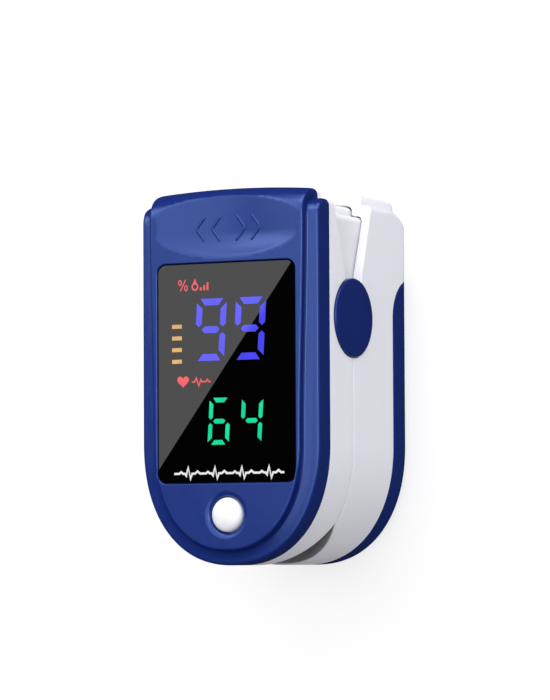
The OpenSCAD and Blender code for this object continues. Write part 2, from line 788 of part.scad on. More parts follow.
module upper_frame() {
    back = stop_y + 1.8;
    top = plate_z + plate_t + 0.3;
    low = shoulder_y - skirt_gap + 0.1;
    skirt = [[back, top - 0.3], [back, 21.4], [pivot_y - 0.5, 16.6], [pivot_y + 2.5, skirt_low_z],
        [low, skirt_low_z], [low, skirt_low_z + 0.4], [end_y, skirt_low_z + 0.4], [end_y, top - 0.3]];
    color(white) difference() {
        union() {
            difference() {
                intersection() {
                    slab(body_outline(frame_inset), part_z + 3 * split, top);
                    box([-big, -big, 0], [big, back, big]);
                }
                difference() {
                    intersection() {
                        slab(body_outline(frame_inset + frame_t), part_z + 1.5, top + 1);
                        box([-big, -big, 0], [big, back - frame_t, big]);
                    }
                    channel_half(1, trough_r + frame_t, -big / 2, big / 2);
                    both_sides() translate([front_boss.x, front_boss.y, 0]) cylinder(r = 2, h = big);
                }
            }
            intersection() {
                slab(body_outline(frame_inset), plate_z, plate_z + plate_t);
                box([-big, back - frame_t, 0], [big, big, big]);
            }
            // skirts, which slide down inside the lower shell as the jaws are squeezed;
            // the one across the end is short, to clear the batteries
            difference() {
                intersection() {
                    along_x(skirt, -big / 2, big / 2);
                    body_ring(skirt_gap, skirt_gap + skirt_t, skirt_low_z - 1, top);
                }
                box([skirt_gap + skirt_t - middle_half, 20, 0],
                    [middle_half - skirt_gap - skirt_t, big, part_z + split]);
            }
            both_sides() on_pivot(3.3, skirt_in, skirt_out);
        }
        channel_half(1, trough_r, -big / 2, stop_y);
        mouth_flare(1);
        translate([0, sensor_y, 0]) cylinder(r = 2.2, h = big);
        box([-3.2, 15, 0], [3.2, 17, big]);
        both_sides() translate([front_boss.x, front_boss.y, 0]) {
            cylinder(r = 1.5, h = 23.8);
            cylinder(r = 0.9, h = big);
        }
        both_sides() translate([rear_boss.x, rear_boss.y, 0]) cylinder(r = 0.9, h = big);
        on_pivot(pin_r + 0.05, -big / 2, big / 2);
    }
}

module upper_pad() {
    color(rubber) pad(1);
}

module upper_lens() {
    color([0.8, 0.85, 0.9]) translate([0, sensor_y, part_z + channel_h / 2]) cylinder(r = 2.1, h = 0.5);
}

module emitter_led() {
    color([0.9, 0.9, 0.8])
        box([-1.5, sensor_y - 1.2, 25], [1.5, sensor_y + 1.2, board_top - board_t]);
}

module cover_screws() {
    color(steel) {
        both_sides() screw(front_boss, 23.8, 6.3, 1.4);
        both_sides() screw(rear_boss, plate_z, 5.2, 1.4);
    }
}

// ---------- battery door ----------

module battery_door() {
    color(blue) {
        difference() {
            intersection() {
                lower_outer();
                door_zone(0);
            }
            slab(body_outline(1), door_t, big);
        }
        // ribs that run in the shell's grooves, and the latch tongue
        both_sides() box([half_w - 1.5, -8, 4.5], [half_w - 0.9, 8, 5.4]);
        box([-1.6, 13, door_t - eps], [1.6, 15.5, floor_t + 0.75]);
        box([-1.6, 13, floor_t + 0.15], [1.6, 20.5, floor_t + 0.75]);
    }
}

lower_shell();
battery_tray();
lower_frame();
lower_pad();
lower_lens();
photodiode();
sensor_board();
cell_left();
cell_right();
positive_plate();
negative_spring();
link_plate();
hinge_pin();
torsion_spring_left();
torsion_spring_right();
pivot_cap_left();
pivot_cap_right();
tray_screws();
jaw_ribbon();
top_cover();
window_tape();
display_window();
spo2_digits();
pulse_digits();
signal_bars();
display_module();
main_board();
board_chips();
power_switch();
upper_shell();
upper_frame();
upper_pad();
upper_lens();
emitter_led();
cover_screws();
switch_plunger();
power_button();
battery_door();
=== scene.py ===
import json
import math
import bmesh
import bpy
import numpy as np
from mathutils import Matrix, Vector
from mathutils.geometry import delaunay_2d_cdt

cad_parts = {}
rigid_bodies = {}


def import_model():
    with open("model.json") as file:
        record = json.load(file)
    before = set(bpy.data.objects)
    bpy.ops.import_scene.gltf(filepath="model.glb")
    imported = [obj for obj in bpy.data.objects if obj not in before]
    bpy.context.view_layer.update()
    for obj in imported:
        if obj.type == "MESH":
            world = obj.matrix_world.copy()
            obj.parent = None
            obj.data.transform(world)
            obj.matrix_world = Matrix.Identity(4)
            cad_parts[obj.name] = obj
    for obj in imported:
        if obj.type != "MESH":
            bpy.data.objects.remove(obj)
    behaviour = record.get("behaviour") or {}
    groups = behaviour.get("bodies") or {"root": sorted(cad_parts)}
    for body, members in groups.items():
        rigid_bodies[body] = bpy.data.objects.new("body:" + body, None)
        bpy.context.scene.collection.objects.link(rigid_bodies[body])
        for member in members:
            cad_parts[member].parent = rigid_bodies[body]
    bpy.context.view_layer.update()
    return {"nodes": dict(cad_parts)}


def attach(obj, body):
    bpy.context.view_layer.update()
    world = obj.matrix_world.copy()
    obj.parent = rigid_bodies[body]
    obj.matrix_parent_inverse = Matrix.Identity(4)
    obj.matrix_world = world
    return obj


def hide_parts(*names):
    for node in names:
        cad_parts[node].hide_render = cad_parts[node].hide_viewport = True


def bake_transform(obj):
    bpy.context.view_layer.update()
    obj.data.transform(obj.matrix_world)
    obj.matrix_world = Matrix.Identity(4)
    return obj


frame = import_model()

NODES = frame["nodes"]
MM = 0.001

# ---------------------------------------------------------------- sizes, in mm
HALF_W, END_Y, NOSE_Y, NOSE_L = 15.6, 29.15, -10.15, 19.0
NOSE_P = 2.2  # power of the nose's superellipse
SHOULDER_Y, MIDDLE, BOW = 26.95, 13.6, 0.5
TOP, SEAM, PART = 32.4, 27.4, 19.8
PIVOT_Y, NOTCH_R = 9.0, 6.27
MOUTH_W, MOUTH_UP, MOUTH_DOWN = 12.4, 3.5, 5.6
DOOR_H, WALL = 6.2, 1.6
WIN_W, WIN_L, WIN_Y, WIN_TOP = 24.2, 33.9, 0.5, 32.35
BTN_Y, BORE_R = -21.4, 2.82
SEAT, CEILING, LEDGE = 28.03, 30.4, 31.4  # undersides in the cover, and the step that the window lies on
OPEN_W, OPEN_L, OPEN_R = 21.2, 30.5, 0.8  # the opening under the window's ledge
PIN_HOLE_R = 2.2
LOWER_GAP_Y, LOWER_GAP = 5.2, 0.29  # where the squeeze gap starts, and its slope
UPPER_GAP_Y, UPPER_GAP = 8.2, 0.33
LENS_Y = -7


# ---------------------------------------------------------------- mesh helpers
def make(name, verts, faces, mat, body, slot=None, replace=(), sharp=32.0, even=False):
    """A mesh object from points in mm, smooth but for edges over `sharp` degrees.

    even keeps big flat faces flat beside small rounded ones.
    """
    me = bpy.data.meshes.new(name)
    me.from_pydata([tuple(c * MM for c in v) for v in verts], [], [tuple(int(i) for i in f) for f in faces])
    me.validate()
    bm = bmesh.new()
    bm.from_mesh(me)
    bmesh.ops.remove_doubles(bm, verts=bm.verts, dist=2e-7)
    bmesh.ops.dissolve_degenerate(bm, dist=1e-7, edges=bm.edges)
    bmesh.ops.recalc_face_normals(bm, faces=bm.faces)
    for f in bm.faces:
        f.smooth = not (even and abs(f.normal.z) > 0.999999)
    for e in bm.edges:
        if len(e.link_faces) == 2:
            e.smooth = e.calc_face_angle(0) < math.radians(sharp)
    bm.to_mesh(me)
    bm.free()
    ob = bpy.data.objects.new(name, me)
    bpy.context.scene.collection.objects.link(ob)
    me.materials.append(mat)
    if even:
        mod = ob.modifiers.new("even_normals", "WEIGHTED_NORMAL")
        mod.keep_sharp = True
        mod.weight = 100
    if body:
        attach(ob, body)
    if replace:
        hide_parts(*replace)
    return ob


def grid_faces(rows, n, closed=True):
    """Quads between consecutive rings of n points."""
    out = []
    for k in range(rows - 1):
        for i in range(n if closed else n - 1):
            j = (i + 1) % n
            out.append((k * n + i, k * n + j, (k + 1) * n + j, (k + 1) * n + i))
    return out


def end_caps(rows, n, turn=False):
    """The two end faces of a stack of rings; turn flips both."""
    a, b = tuple(range(n)), tuple(range((rows - 1) * n, rows * n))
    return [a, b[::-1]] if turn else [a[::-1], b]


def two_sided(tris, m):
    """The same triangles on an upper sheet and, turned over, on a lower one that starts at vertex m."""
    return [tuple(t) for t in tris] + [tuple(m + i for i in reversed(t)) for t in tris]


def loop_walls(loops, order, m, k=0):
    """Faces between the two sheets along each loop; order gives the loops' points, from number k."""
    out = []
    for lp in loops:
        for i in range(len(lp)):
            a, b = order[k + i], order[k + (i + 1) % len(lp)]
            out.append((a, b, m + b, m + a))
        k += len(lp)
    return out


def turned(profile, n, o, x, y, z):
    """Points and faces turned about z through o; profile is (radius, height), and radius 0 is a pole."""
    verts, rings = [], []
    for r, h in profile:
        count = 1 if r < 1e-6 else n
        rings.append(list(range(len(verts), len(verts) + count)))
        for i in range(count):
            a = 2 * math.pi * i / n
            verts.append(tuple(o + z * h + (x * math.cos(a) + y * math.sin(a)) * r))
    faces = []
    for a, b in zip(rings, rings[1:]):
        for i in range(n):
            j = (i + 1) % n
            if len(a) == 1:
                faces.append((a[0], b[i], b[j]))
            elif len(b) == 1:
                faces.append((a[i], b[0], a[j]))
            else:
                faces.append((a[i], b[i], b[j], a[j]))
    return verts, faces


def lathe(name, profile, origin, axis, mat, body, n=64, **kw):
    """A closed turned solid, from one pole of its profile to the other."""
    z = Vector(axis).normalized()
    x = z.orthogonal().normalized()
    return make(name, *turned(profile, n, Vector(origin), x, z.cross(x), z), mat, body, **kw)


def inside(points, loop):
    """Which of the points lie inside a closed loop."""
    p, q = np.asarray(points, float), np.asarray(loop, float)
    x, y = p[:, 0], p[:, 1]
    x0, y0 = q[:, 0], q[:, 1]
    x1, y1 = np.roll(x0, -1), np.roll(y0, -1)
    hit = np.zeros(len(p), bool)
    for a, b, c, d in zip(x0, y0, x1, y1):
        if b == d:
            continue
        cross = ((b > y) != (d > y)) & (x < (c - a) * (y - b) / (d - b) + a)
        hit ^= cross
    return hit


def near(points, loop, gap):
    """Which of the points are closer than gap to the loop's vertices."""
    p, q = np.asarray(points, float), np.asarray(loop, float)
    d = np.hypot(p[:, None, 0] - q[None, :, 0], p[:, None, 1] - q[None, :, 1])
    return d.min(axis=1) < gap


def fill(outer, holes=(), inner=(), lines=()):
    """Triangles between closed loops, through free points and open lines.

    Gives the points, the triangles, and each loop point's number among the points, in order.
    """
    pts, edges = [], []
    for loop in [outer, *holes]:
        k = len(pts)
        pts += [tuple(map(float, p)) for p in loop]
        edges += [(k + i, k + (i + 1) % len(loop)) for i in range(len(loop))]
    fixed = len(pts)
    for line in lines:
        k = len(pts)
        pts += [tuple(map(float, p)) for p in line]
        edges += [(k + i, k + i + 1) for i in range(len(line) - 1)]
    pts += [tuple(map(float, p)) for p in inner]
    res = delaunay_2d_cdt([Vector(p) for p in pts], edges, [], 0, 1e-7)
    v, tris = np.array([tuple(p) for p in res[0]]), res[2]
    cen = np.array([[v[i] for i in t] for t in tris]).mean(axis=1)
    keep = inside(cen, outer)
    for h in holes:
        keep &= ~inside(cen, h)
    origin = {}
    for new, olds in enumerate(res[3]):
        for o in olds:
            origin[o] = new
    order = [origin.get(i, i) for i in range(fixed)]
    return v, [t for t, k in zip(tris, keep) if k], order


def tube(path, r, sides=14):
    """Points and faces of a round wire along a path, in mm."""
    p = np.asarray(path, float)
    t = np.gradient(p, axis=0)
    t /= np.linalg.norm(t, axis=1)[:, None]
    u = np.cross(t[0], [0.3, 0.5, 0.8])
    u /= np.linalg.norm(u)
    verts = []
    for a, b in zip(p, t):
        u = u - b * np.dot(u, b)
        u /= np.linalg.norm(u)
        w = np.cross(b, u)
        for k in range(sides):
            g = 2 * math.pi * k / sides
            verts.append(a + r * (math.cos(g) * u + math.sin(g) * w))
    return verts, grid_faces(len(p), sides) + end_caps(len(p), sides)


def join(parts):
    """Several (points, faces) as one."""
    verts, faces = [], []
    for v, f in parts:
        k = len(verts)
        verts += list(v)
        faces += [tuple(i + k for i in q) for q in f]
    return verts, faces


def smoothstep(t):
    t = np.clip(t, 0, 1)
    return t * t * (3 - 2 * t)


def soft_min(a, b, k):
    """The lesser of a and b, rounded over where they are within k of each other."""
    h = np.clip(0.5 + 0.5 * (a - b) / k, 0, 1)
    return a * (1 - h) + b * h - k * h * (1 - h)


def arc(cx, cy, r, a0, a1, n, start=1):
    """Points of an arc from a0 to a1 degrees in n steps; the first is left out unless start is 0."""
    turn = [math.radians(a0 + (a1 - a0) * i / n) for i in range(start, n + 1)]
    return np.array([(cx + r * math.cos(a), cy + r * math.sin(a)) for a in turn])


def rrect(w, l, r, cx=0.0, cy=0.0, n=8, side=14):
    """A rounded rectangle, anticlockwise."""
    x, y = w / 2 - r, l / 2 - r
    spots = [(x, y, 0), (-x, y, 90), (-x, -y, 180), (x, -y, 270)]
    arcs = [arc(cx + px, cy + py, r, a0, a0 + 90, n, 0) for px, py, a0 in spots]
    pts = []
    for i, corner in enumerate(arcs):
        a, b = corner[-1], arcs[(i + 1) % 4][0]
        pts += [*corner, *(a + (b - a) * k / side for k in range(1, side))]
    return np.array(pts)


def ellipse(rx, ry, cx, cy, n=28):
    a = np.linspace(0, 2 * math.pi, n, endpoint=False)
    return np.stack([cx + rx * np.cos(a), cy + ry * np.sin(a)], 1)


def circle(r, cx, cy, n=64):
    return ellipse(r, r, cx, cy, n)


# ---------------------------------------------------------------- plan of the body
FLANK = np.concatenate([
    np.linspace(-9.3, 2.3, 18),
    PIVOT_Y - NOTCH_R * np.cos(np.linspace(0, math.pi, 57)),
    [15.45, 15.6, 15.75, 15.87, 15.95, 16.0, 16.12]])


def nose_line(hw, length, d):
    """The right half of the nose's superellipse, set in by d, from its tip to its widest place."""
    t = np.radians(np.linspace(0, 90, 61))
    c, s_ = np.abs(np.sin(t)), np.abs(np.cos(t))
    n = np.stack([c ** (2 - 2 / NOSE_P) / hw, -s_ ** (2 - 2 / NOSE_P) / length], 1)
    n /= np.linalg.norm(n, axis=1)[:, None]
    line = np.stack([hw * c ** (2 / NOSE_P), NOSE_Y - length * s_ ** (2 / NOSE_P)], 1) - n * d
    line[0, 0] = 0
    return line


def half_plan(d, ds, de):
    """The right half of the body's outline, from the nose's tip to the middle of the squeezed end."""
    nose = nose_line(HALF_W, NOSE_L, d)
    r = max(0.25, 1.1 - d) if d < 1.2 else 1.0  # of both outward corners
    x, mid = HALF_W - d, MIDDLE - d
    shoulder, tail = SHOULDER_Y - ds, END_Y - de
    y1, y2 = shoulder - r, tail - BOW - r  # centres of the corners
    thirds = np.array([1 / 3, 2 / 3, 1])
    flank = np.stack([np.full(len(FLANK), x), FLANK], 1)
    late = np.stack([np.full(17, x), FLANK[-1] + (y1 - FLANK[-1]) * np.linspace(1 / 17, 1, 17)], 1)
    corner = arc(x - r, y1, r, 0, 90, 8)
    rh = max(0.1, min(0.3 + d, (HALF_W - MIDDLE) - r - 0.1, y2 - shoulder - 0.05))
    a, b = x - r, mid + rh
    ledge = np.stack([a + (b - a) * thirds, np.full(3, shoulder)], 1)
    hollow = arc(mid + rh, shoulder + rh, rh, 270, 180, 5)
    rise = np.stack([np.full(3, mid), shoulder + rh + (y2 - shoulder - rh) * thirds], 1)
    corner2 = arc(mid - r, y2, r, 0, 90, 8)
    ex = (mid - r) * (1 - np.arange(1, 13) / 12)
    end = np.stack([ex, tail - BOW * (ex / (mid - r)) ** 2], 1)
    return np.concatenate([nose, flank, late, corner, ledge, hollow, rise, corner2, end])


def mirrored(h):
    """A right half with its left half after it, anticlockwise."""
    return np.concatenate([h, h[1:-1][::-1] * [-1, 1]])


def roll(z, w, h):
    return w * (1 - math.sqrt(max(0.0, 1 - (max(0.0, h - z) / h) ** 2)))


def level(z, e):
    """The outline at height z over the foot's rolled edges, set in by e."""
    return mirrored(half_plan(roll(z, 3, 3) + e, roll(z, 5.4, 7.6) + e, roll(z, 3, 3.4) + e))


ROLL_H = 8  # the walls are upright from here on
LEVELS = ROLL_H * np.linspace(0, 1, 81) ** 2
OUTER = np.array([level(z, 0) for z in LEVELS])
INNER = np.array([level(z, WALL) for z in LEVELS])
N = OUTER.shape[1]
PLAN = OUTER[-1]
PX, PY = PLAN[:, 0], PLAN[:, 1]


def skin(z, e=0.0):
    """Points on the lower body at heights z, set in by e from its outside."""
    z = np.broadcast_to(np.asarray(z, float), (N,))
    e = np.broadcast_to(np.asarray(e, float), (N,))
    k = np.clip(80 * np.sqrt(np.maximum(z, 0) / ROLL_H), 0, 79.999)
    i = k.astype(int)
    f = (k - i)[:, None]
    j = np.arange(N)
    a, b = (p[i, j] * (1 - f) + p[i + 1, j] * f for p in (OUTER, INNER))
    p = a + (b - a) * (e / WALL)[:, None]
    return np.column_stack([p, z])


def arc_up(x, h):
    """Height of the mouth's upper rim over the parting line; h is its height in the middle."""
    r = (MOUTH_W ** 2 / h + h) / 2
    return np.sqrt(np.maximum(r * r - x * x, 0)) - (r - h)


IN_MOUTH = (PY < -14) & (np.abs(PX) < MOUTH_W)
NOTCH = np.sqrt(np.maximum(NOTCH_R ** 2 - (PY - PIVOT_Y) ** 2, 0))


def lower_rim():
    """Heights of the lower shell's rim: the mouth, the cap's notch and the gap behind the hinge."""
    z = np.full(N, PART - 0.08)
    z = np.where(IN_MOUTH, np.minimum(z, PART - arc_up(PX, MOUTH_DOWN)), z)
    z = np.where(np.abs(PY - PIVOT_Y) < NOTCH_R, np.minimum(z, PART - NOTCH), z)
    return below_gap(z)


def below_gap(z):
    """Heights z, kept under the gap behind the hinge that closes as the jaws are squeezed."""
    return np.where(PY > LOWER_GAP_Y, np.minimum(z, PART - LOWER_GAP * (PY - LOWER_GAP_Y)), z)


def above_gap(z):
    return np.where(PY > UPPER_GAP_Y, np.maximum(z, PART + UPPER_GAP * (PY - UPPER_GAP_Y)), z)


def upper_rim():
    z = np.full(N, PART + 0.08)
    z = np.where(IN_MOUTH, np.maximum(z, PART + arc_up(PX, MOUTH_UP)), z)
    z = np.where(np.abs(PY - PIVOT_Y) < NOTCH_R, np.maximum(z, PART + NOTCH), z)
    return above_gap(z)


def door_top(y):
    """Height of the battery door's edge, which curves down to the table at its straight end."""
    t = np.clip((y - 9.6) / 6.4, 0, 1)
    return DOOR_H * np.sqrt(1 - t * t)


# ---------------------------------------------------------------- top surface of the cover
def end_line(x):
    return END_Y - 0.03 - BOW * np.clip(np.abs(x) / 12.5, 0, 1.2) ** 2


ROLL = 3.8  # radius of the rolled end
DISH, DISH_X, DISH_HALF = 0.98, 0.3, 12.35  # depth, middle and half width of the thumb dish
DISH_Y, DISH_L, DISH_P = 21.9, 3.6, 1.7  # its foot: where it starts, its length and the power of its curve


def top_z(x, y, dish=True):
    """Height of the cover's raised middle, with its rolled end and its thumb dish."""
    x, y = np.asarray(x, float), np.asarray(y, float)
    e = np.clip(end_line(x) - y, 0, ROLL)
    z = TOP - ROLL + np.sqrt(np.maximum(ROLL ** 2 - (ROLL - e) ** 2, 0))
    if not dish:
        return z
    u = np.clip(np.abs((x - DISH_X) / DISH_HALF), 0, 1)
    t = np.clip((DISH_Y - y) / DISH_L, 0, 3)
    floor = TOP - DISH * (1 - u ** 2) + DISH * t ** DISH_P + np.clip(12 - y, 0, 100)
    return soft_min(floor, z, 0.035)


# ---------------------------------------------------------------- materials
def new_mat(name):
    m = bpy.data.materials.new(name)
    m.use_nodes = True
    nt = m.node_tree
    b = nt.nodes["Principled BSDF"]
    return m, nt, b


def node(nt, kind, **props):
    n = nt.nodes.new(kind)
    for k, v in props.items():
        setattr(n, k, v)
    return n


def coords(nt, scale=(1, 1, 1)):
    tc = node(nt, "ShaderNodeTexCoord")
    mp = node(nt, "ShaderNodeMapping")
    mp.inputs["Scale"].default_value = scale
    nt.links.new(tc.outputs["Object"], mp.inputs["Vector"])
    return mp.outputs["Vector"]


def noise(nt, scale, detail=3.0, rough=0.55, stretch=(1, 1, 1)):
    n = node(nt, "ShaderNodeTexNoise")
    n.inputs["Scale"].default_value = scale
    n.inputs["Detail"].default_value = detail
    n.inputs["Roughness"].default_value = rough
    nt.links.new(coords(nt, stretch), n.inputs["Vector"])
    return n.outputs["Fac"]


def spread(nt, fac, lo, hi, a=0.3, b=0.7):
    n = node(nt, "ShaderNodeMapRange")
    nt.links.new(fac, n.inputs["Value"])
    for k, v in zip(("From Min", "From Max", "To Min", "To Max"), (a, b, lo, hi)):
        n.inputs[k].default_value = v
    return n.outputs["Result"]


def blendcol(nt, fac, c1, c2):
    """A blend of two colours, each a tuple or a socket."""
    n = node(nt, "ShaderNodeMix", data_type="RGBA")
    for sock, c in ((n.inputs[6], c1), (n.inputs[7], c2)):
        if hasattr(c, "links"):
            nt.links.new(c, sock)
        else:
            sock.default_value = (*c, 1)
    nt.links.new(fac, n.inputs[0])
    return n.outputs[2]


def patches(nt, scale, detail, lo, hi, rough=0.55, stretch=(1, 1, 1)):
    """Cloudy noise between two values."""
    return spread(nt, noise(nt, scale, detail, rough, stretch), lo, hi)


def tones(nt, scale, detail, c1, c2, rough=0.55):
    """Cloudy noise between two colours."""
    return blendcol(nt, patches(nt, scale, detail, 0, 1, rough), c1, c2)


def wire(b, **inputs):
    """Links or sets a shader's sockets, named with _ for each space."""
    for name, value in inputs.items():
        sock = b.inputs[name.replace("_", " ")]
        if hasattr(value, "links"):
            b.id_data.links.new(value, sock)
        else:
            sock.default_value = value


def bump(nt, b, height, dist, strength=1.0, under=None):
    n = node(nt, "ShaderNodeBump")
    n.inputs["Distance"].default_value = dist
    n.inputs["Strength"].default_value = strength
    nt.links.new(height, n.inputs["Height"])
    if under:
        nt.links.new(under, n.inputs["Normal"])
    nt.links.new(n.outputs["Normal"], b.inputs["Normal"])
    return n.outputs["Normal"]


def plastic(name, col, rough, tint, grain=6500, depth=0.000006, sss=0.0, spec=0.5, gleam=None):
    """Moulded plastic: cloudy pigment, faint spark-eroded grain, rubbed patches in the gloss."""
    m, nt, b = new_mat(name)
    lo = tuple(c * (1 - tint) for c in col)
    hi = tuple(min(1, c * (1 + tint)) for c in col)
    wire(b, Base_Color=tones(nt, 130, 4, lo, hi), Specular_IOR_Level=spec,
         Roughness=patches(nt, 900, 5, *rough, 0.7, (1, 0.25, 1)))
    if gleam:
        wire(b, Specular_Tint=(*gleam, 1))
    first = bump(nt, b, noise(nt, grain, 2, 0.5), depth)
    bump(nt, b, noise(nt, 190, 2, 0.4), 0.00002, 0.6, first)
    if sss:
        wire(b, Subsurface_Weight=sss, Subsurface_Radius=(0.0016, 0.0014, 0.0012), Subsurface_Scale=1.0)
    return m


def metal(name, col, rough, scale, brush=(1, 1, 1)):
    """Bare metal with drawing marks in its gloss."""
    m, nt, b = new_mat(name)
    streak = noise(nt, scale, 4, 0.6, brush)
    wire(b, Base_Color=tones(nt, 260, 4, col, tuple(c * 0.72 for c in col)), Metallic=1.0,
         Roughness=spread(nt, streak, *rough))
    bump(nt, b, streak, 0.000004)
    return m


def glow(name, col):
    """A lit display segment: brighter where the lamp behind it sits, under the glossy pane. The printed icons and wave
    use it too, and on them the glow is painted light.
    """
    m, nt, b = new_mat(name)
    f = patches(nt, 420, 2, 0, 1)
    wire(b, Emission_Color=blendcol(nt, f, tuple(c * 0.82 for c in col), col), Emission_Strength=1.0,
         Base_Color=blendcol(nt, f, (0.002, 0.002, 0.002), tuple(c * 0.02 for c in col)),
         Roughness=0.03, IOR=1.5)
    return m


def pad_mat():
    """Silicone of the pads: matt, finely pebbled, a little cloudy in tone."""
    m, nt, b = new_mat("soft_pad")
    # this grey is partly painted shade: on the mouth's lip it stands in for the shadow inside the mouth
    wire(b, Base_Color=tones(nt, 700, 6, (0.2, 0.2, 0.215), (0.27, 0.27, 0.29), 0.7),
         Roughness=patches(nt, 1500, 4, 0.5, 0.68), Sheen_Weight=0.25, Sheen_Roughness=0.5)
    pebbles = node(nt, "ShaderNodeTexVoronoi")
    wire(pebbles, Scale=2600, Vector=coords(nt))
    bump(nt, b, pebbles.outputs["Distance"], 0.00004)
    return m


def pane_mat():
    """Smoked pane of the display."""
    m, nt, b = new_mat("window_black")
    wire(b, Base_Color=tones(nt, 300, 2, (0.0012, 0.0012, 0.0015), (0.002, 0.002, 0.0026)),
         Roughness=patches(nt, 160, 5, 0.0, 0.008, 0.7), IOR=1.5)
    return m


def lens_mat():
    """Clear lenses over the lamp and the sensor."""
    m, nt, b = new_mat("lens")
    wire(b, Base_Color=tones(nt, 900, 2, (0.75, 0.8, 0.85), (0.85, 0.9, 0.95)),
         Roughness=patches(nt, 2500, 3, 0.04, 0.14), Transmission_Weight=0.85, IOR=1.49)
    return m


def board_mat():
    """Circuit boards: green mask with copper tracks under it."""
    m, nt, b = new_mat("board")
    tracks = node(nt, "ShaderNodeTexBrick")
    wire(tracks, Scale=420, Mortar_Size=0.06, Vector=coords(nt), Color1=(0.012, 0.09, 0.03, 1),
         Color2=(0.016, 0.11, 0.04, 1), Mortar=(0.04, 0.2, 0.07, 1))
    wire(b, Base_Color=blendcol(nt, patches(nt, 500, 4, 0, 0.5), tracks.outputs["Color"], (0.01, 0.06, 0.02)),
         Roughness=patches(nt, 1800, 2, 0.22, 0.36))
    bump(nt, b, tracks.outputs["Fac"], 0.00003)
    return m


def flex_mat():
    """Orange flex with its copper tracks along it."""
    m, nt, b = new_mat("flex")
    tracks = node(nt, "ShaderNodeTexWave", wave_type="BANDS", bands_direction="X")
    wire(tracks, Scale=330, Vector=coords(nt))
    band = spread(nt, tracks.outputs["Fac"], 0, 1, 0.45, 0.6)
    wire(b, Base_Color=blendcol(nt, band, (0.28, 0.1, 0.02), (0.5, 0.22, 0.05)),
         Roughness=patches(nt, 1500, 2, 0.25, 0.4))
    bump(nt, b, tracks.outputs["Fac"], 0.00002)
    return m


def cell_mat():
    """Printed jacket of a cell, in rings along it."""
    m, nt, b = new_mat("cell_jacket")
    along_it = node(nt, "ShaderNodeSeparateXYZ")
    nt.links.new(node(nt, "ShaderNodeTexCoord").outputs["Generated"], along_it.inputs[0])
    ramp = node(nt, "ShaderNodeValToRGB")
    ramp.color_ramp.interpolation = "CONSTANT"
    stops = ramp.color_ramp.elements
    can, copper, cream, black = (0.62, 0.6, 0.56, 1), (0.5, 0.24, 0.1, 1), (0.55, 0.52, 0.45, 1), (0.012, 0.012, 0.014, 1)
    stops[0].position, stops[0].color = 0.0, can
    stops[1].position, stops[1].color = 0.026, copper
    for at, c in ((0.3, cream), (0.315, black), (0.97, can)):
        stops.new(at).color = c
    nt.links.new(along_it.outputs["Y"], ramp.inputs["Fac"])
    dirt = patches(nt, 300, 4, 0, 0.35)
    wire(b, Base_Color=blendcol(nt, dirt, ramp.outputs["Color"], (0.1, 0.09, 0.08)),
         Roughness=patches(nt, 700, 5, 0.16, 0.32, 0.7), Metallic=0.55)
    bump(nt, b, noise(nt, 400, 2), 0.00001)
    return m


BLUE = plastic("blue_abs", (0.0075, 0.0225, 0.16), (0.17, 0.24), 0.05, spec=1.0, gleam=(0.3, 0.45, 1.0))
WHITE = plastic("white_abs", (0.86, 0.86, 0.93), (0.3, 0.4), 0.012, sss=0.08)
FRAME_WHITE = plastic("inner_abs", (0.8, 0.8, 0.84), (0.42, 0.55), 0.03, depth=0.000012)
BUTTON = plastic("button_white", (0.88, 0.88, 0.93), (0.22, 0.3), 0.01, sss=0.08)
BLACK = plastic("black_plastic", (0.012, 0.012, 0.014), (0.35, 0.5), 0.2)
MODULE = plastic("module_dark", (0.02, 0.02, 0.022), (0.45, 0.6), 0.25)
TAPE = plastic("tape", (0.01, 0.01, 0.01), (0.7, 0.85), 0.3, grain=3000, depth=0.00002)
SWITCH = plastic("switch_body", (0.045, 0.045, 0.05), (0.4, 0.5), 0.15)
RED = plastic("switch_red", (0.4, 0.03, 0.02), (0.35, 0.45), 0.1)
SENSOR = plastic("sensor_dark", (0.01, 0.008, 0.02), (0.1, 0.2), 0.3)
STEEL = metal("spring_steel", (0.56, 0.57, 0.6), (0.16, 0.32), 3000)
CONTACT = metal("contact_steel", (0.66, 0.65, 0.62), (0.2, 0.36), 2200, (0.2, 1, 3))
SCREW = metal("screw_steel", (0.6, 0.6, 0.62), (0.22, 0.4), 2600)
EMITTER = plastic("emitter", (0.75, 0.76, 0.68), (0.08, 0.16), 0.05)
PAD, PANE, LENS, BOARD, FLEX, CELL = pad_mat(), pane_mat(), lens_mat(), board_mat(), flex_mat(), cell_mat()
DIGIT_BLUE = glow("digits_blue", (0.075, 0.07, 0.95))
DIGIT_GREEN = glow("digits_green", (0.012, 0.8, 0.36))
BAR_AMBER = glow("bars_amber", (0.75, 0.42, 0.12))
# the printed icons and wave glow like the lit segments: painted light, since print has no lamp behind it
SELF_LIT_RED_PRINT = glow("red_print_glow", (0.9, 0.075, 0.085))
SELF_LIT_WHITE_PRINT = glow("white_print_glow", (0.86, 0.86, 0.88))


# ---------------------------------------------------------------- shells
def ringed(rows):
    """Closed rings of points, with quads between them, and the number of the last ring's first point."""
    n = len(rows[0])
    return np.concatenate(rows), grid_faces(len(rows), n), (len(rows) - 1) * n


ARC = np.radians(np.linspace(0, 90, 7))  # steps round a rounded edge
SPLIT = 0.1  # half the gap between the jaws' inner walls
STEP = 0.8  # how far in the outer half of a jaw's wall reaches
CHAMFER = 0.12
FRONT_ROUND = np.r_[np.arange(N // 2, N), np.arange(0, N // 2)]  # columns from the back, round the nose

# lower shell: walls all round, a floor behind the battery door
pin_hole = np.sqrt(np.maximum(PIN_HOLE_R ** 2 - (PY - PIVOT_Y) ** 2, 0))
by_pin = np.abs(PY - PIVOT_Y) < PIN_HOLE_R
top = lower_rim()
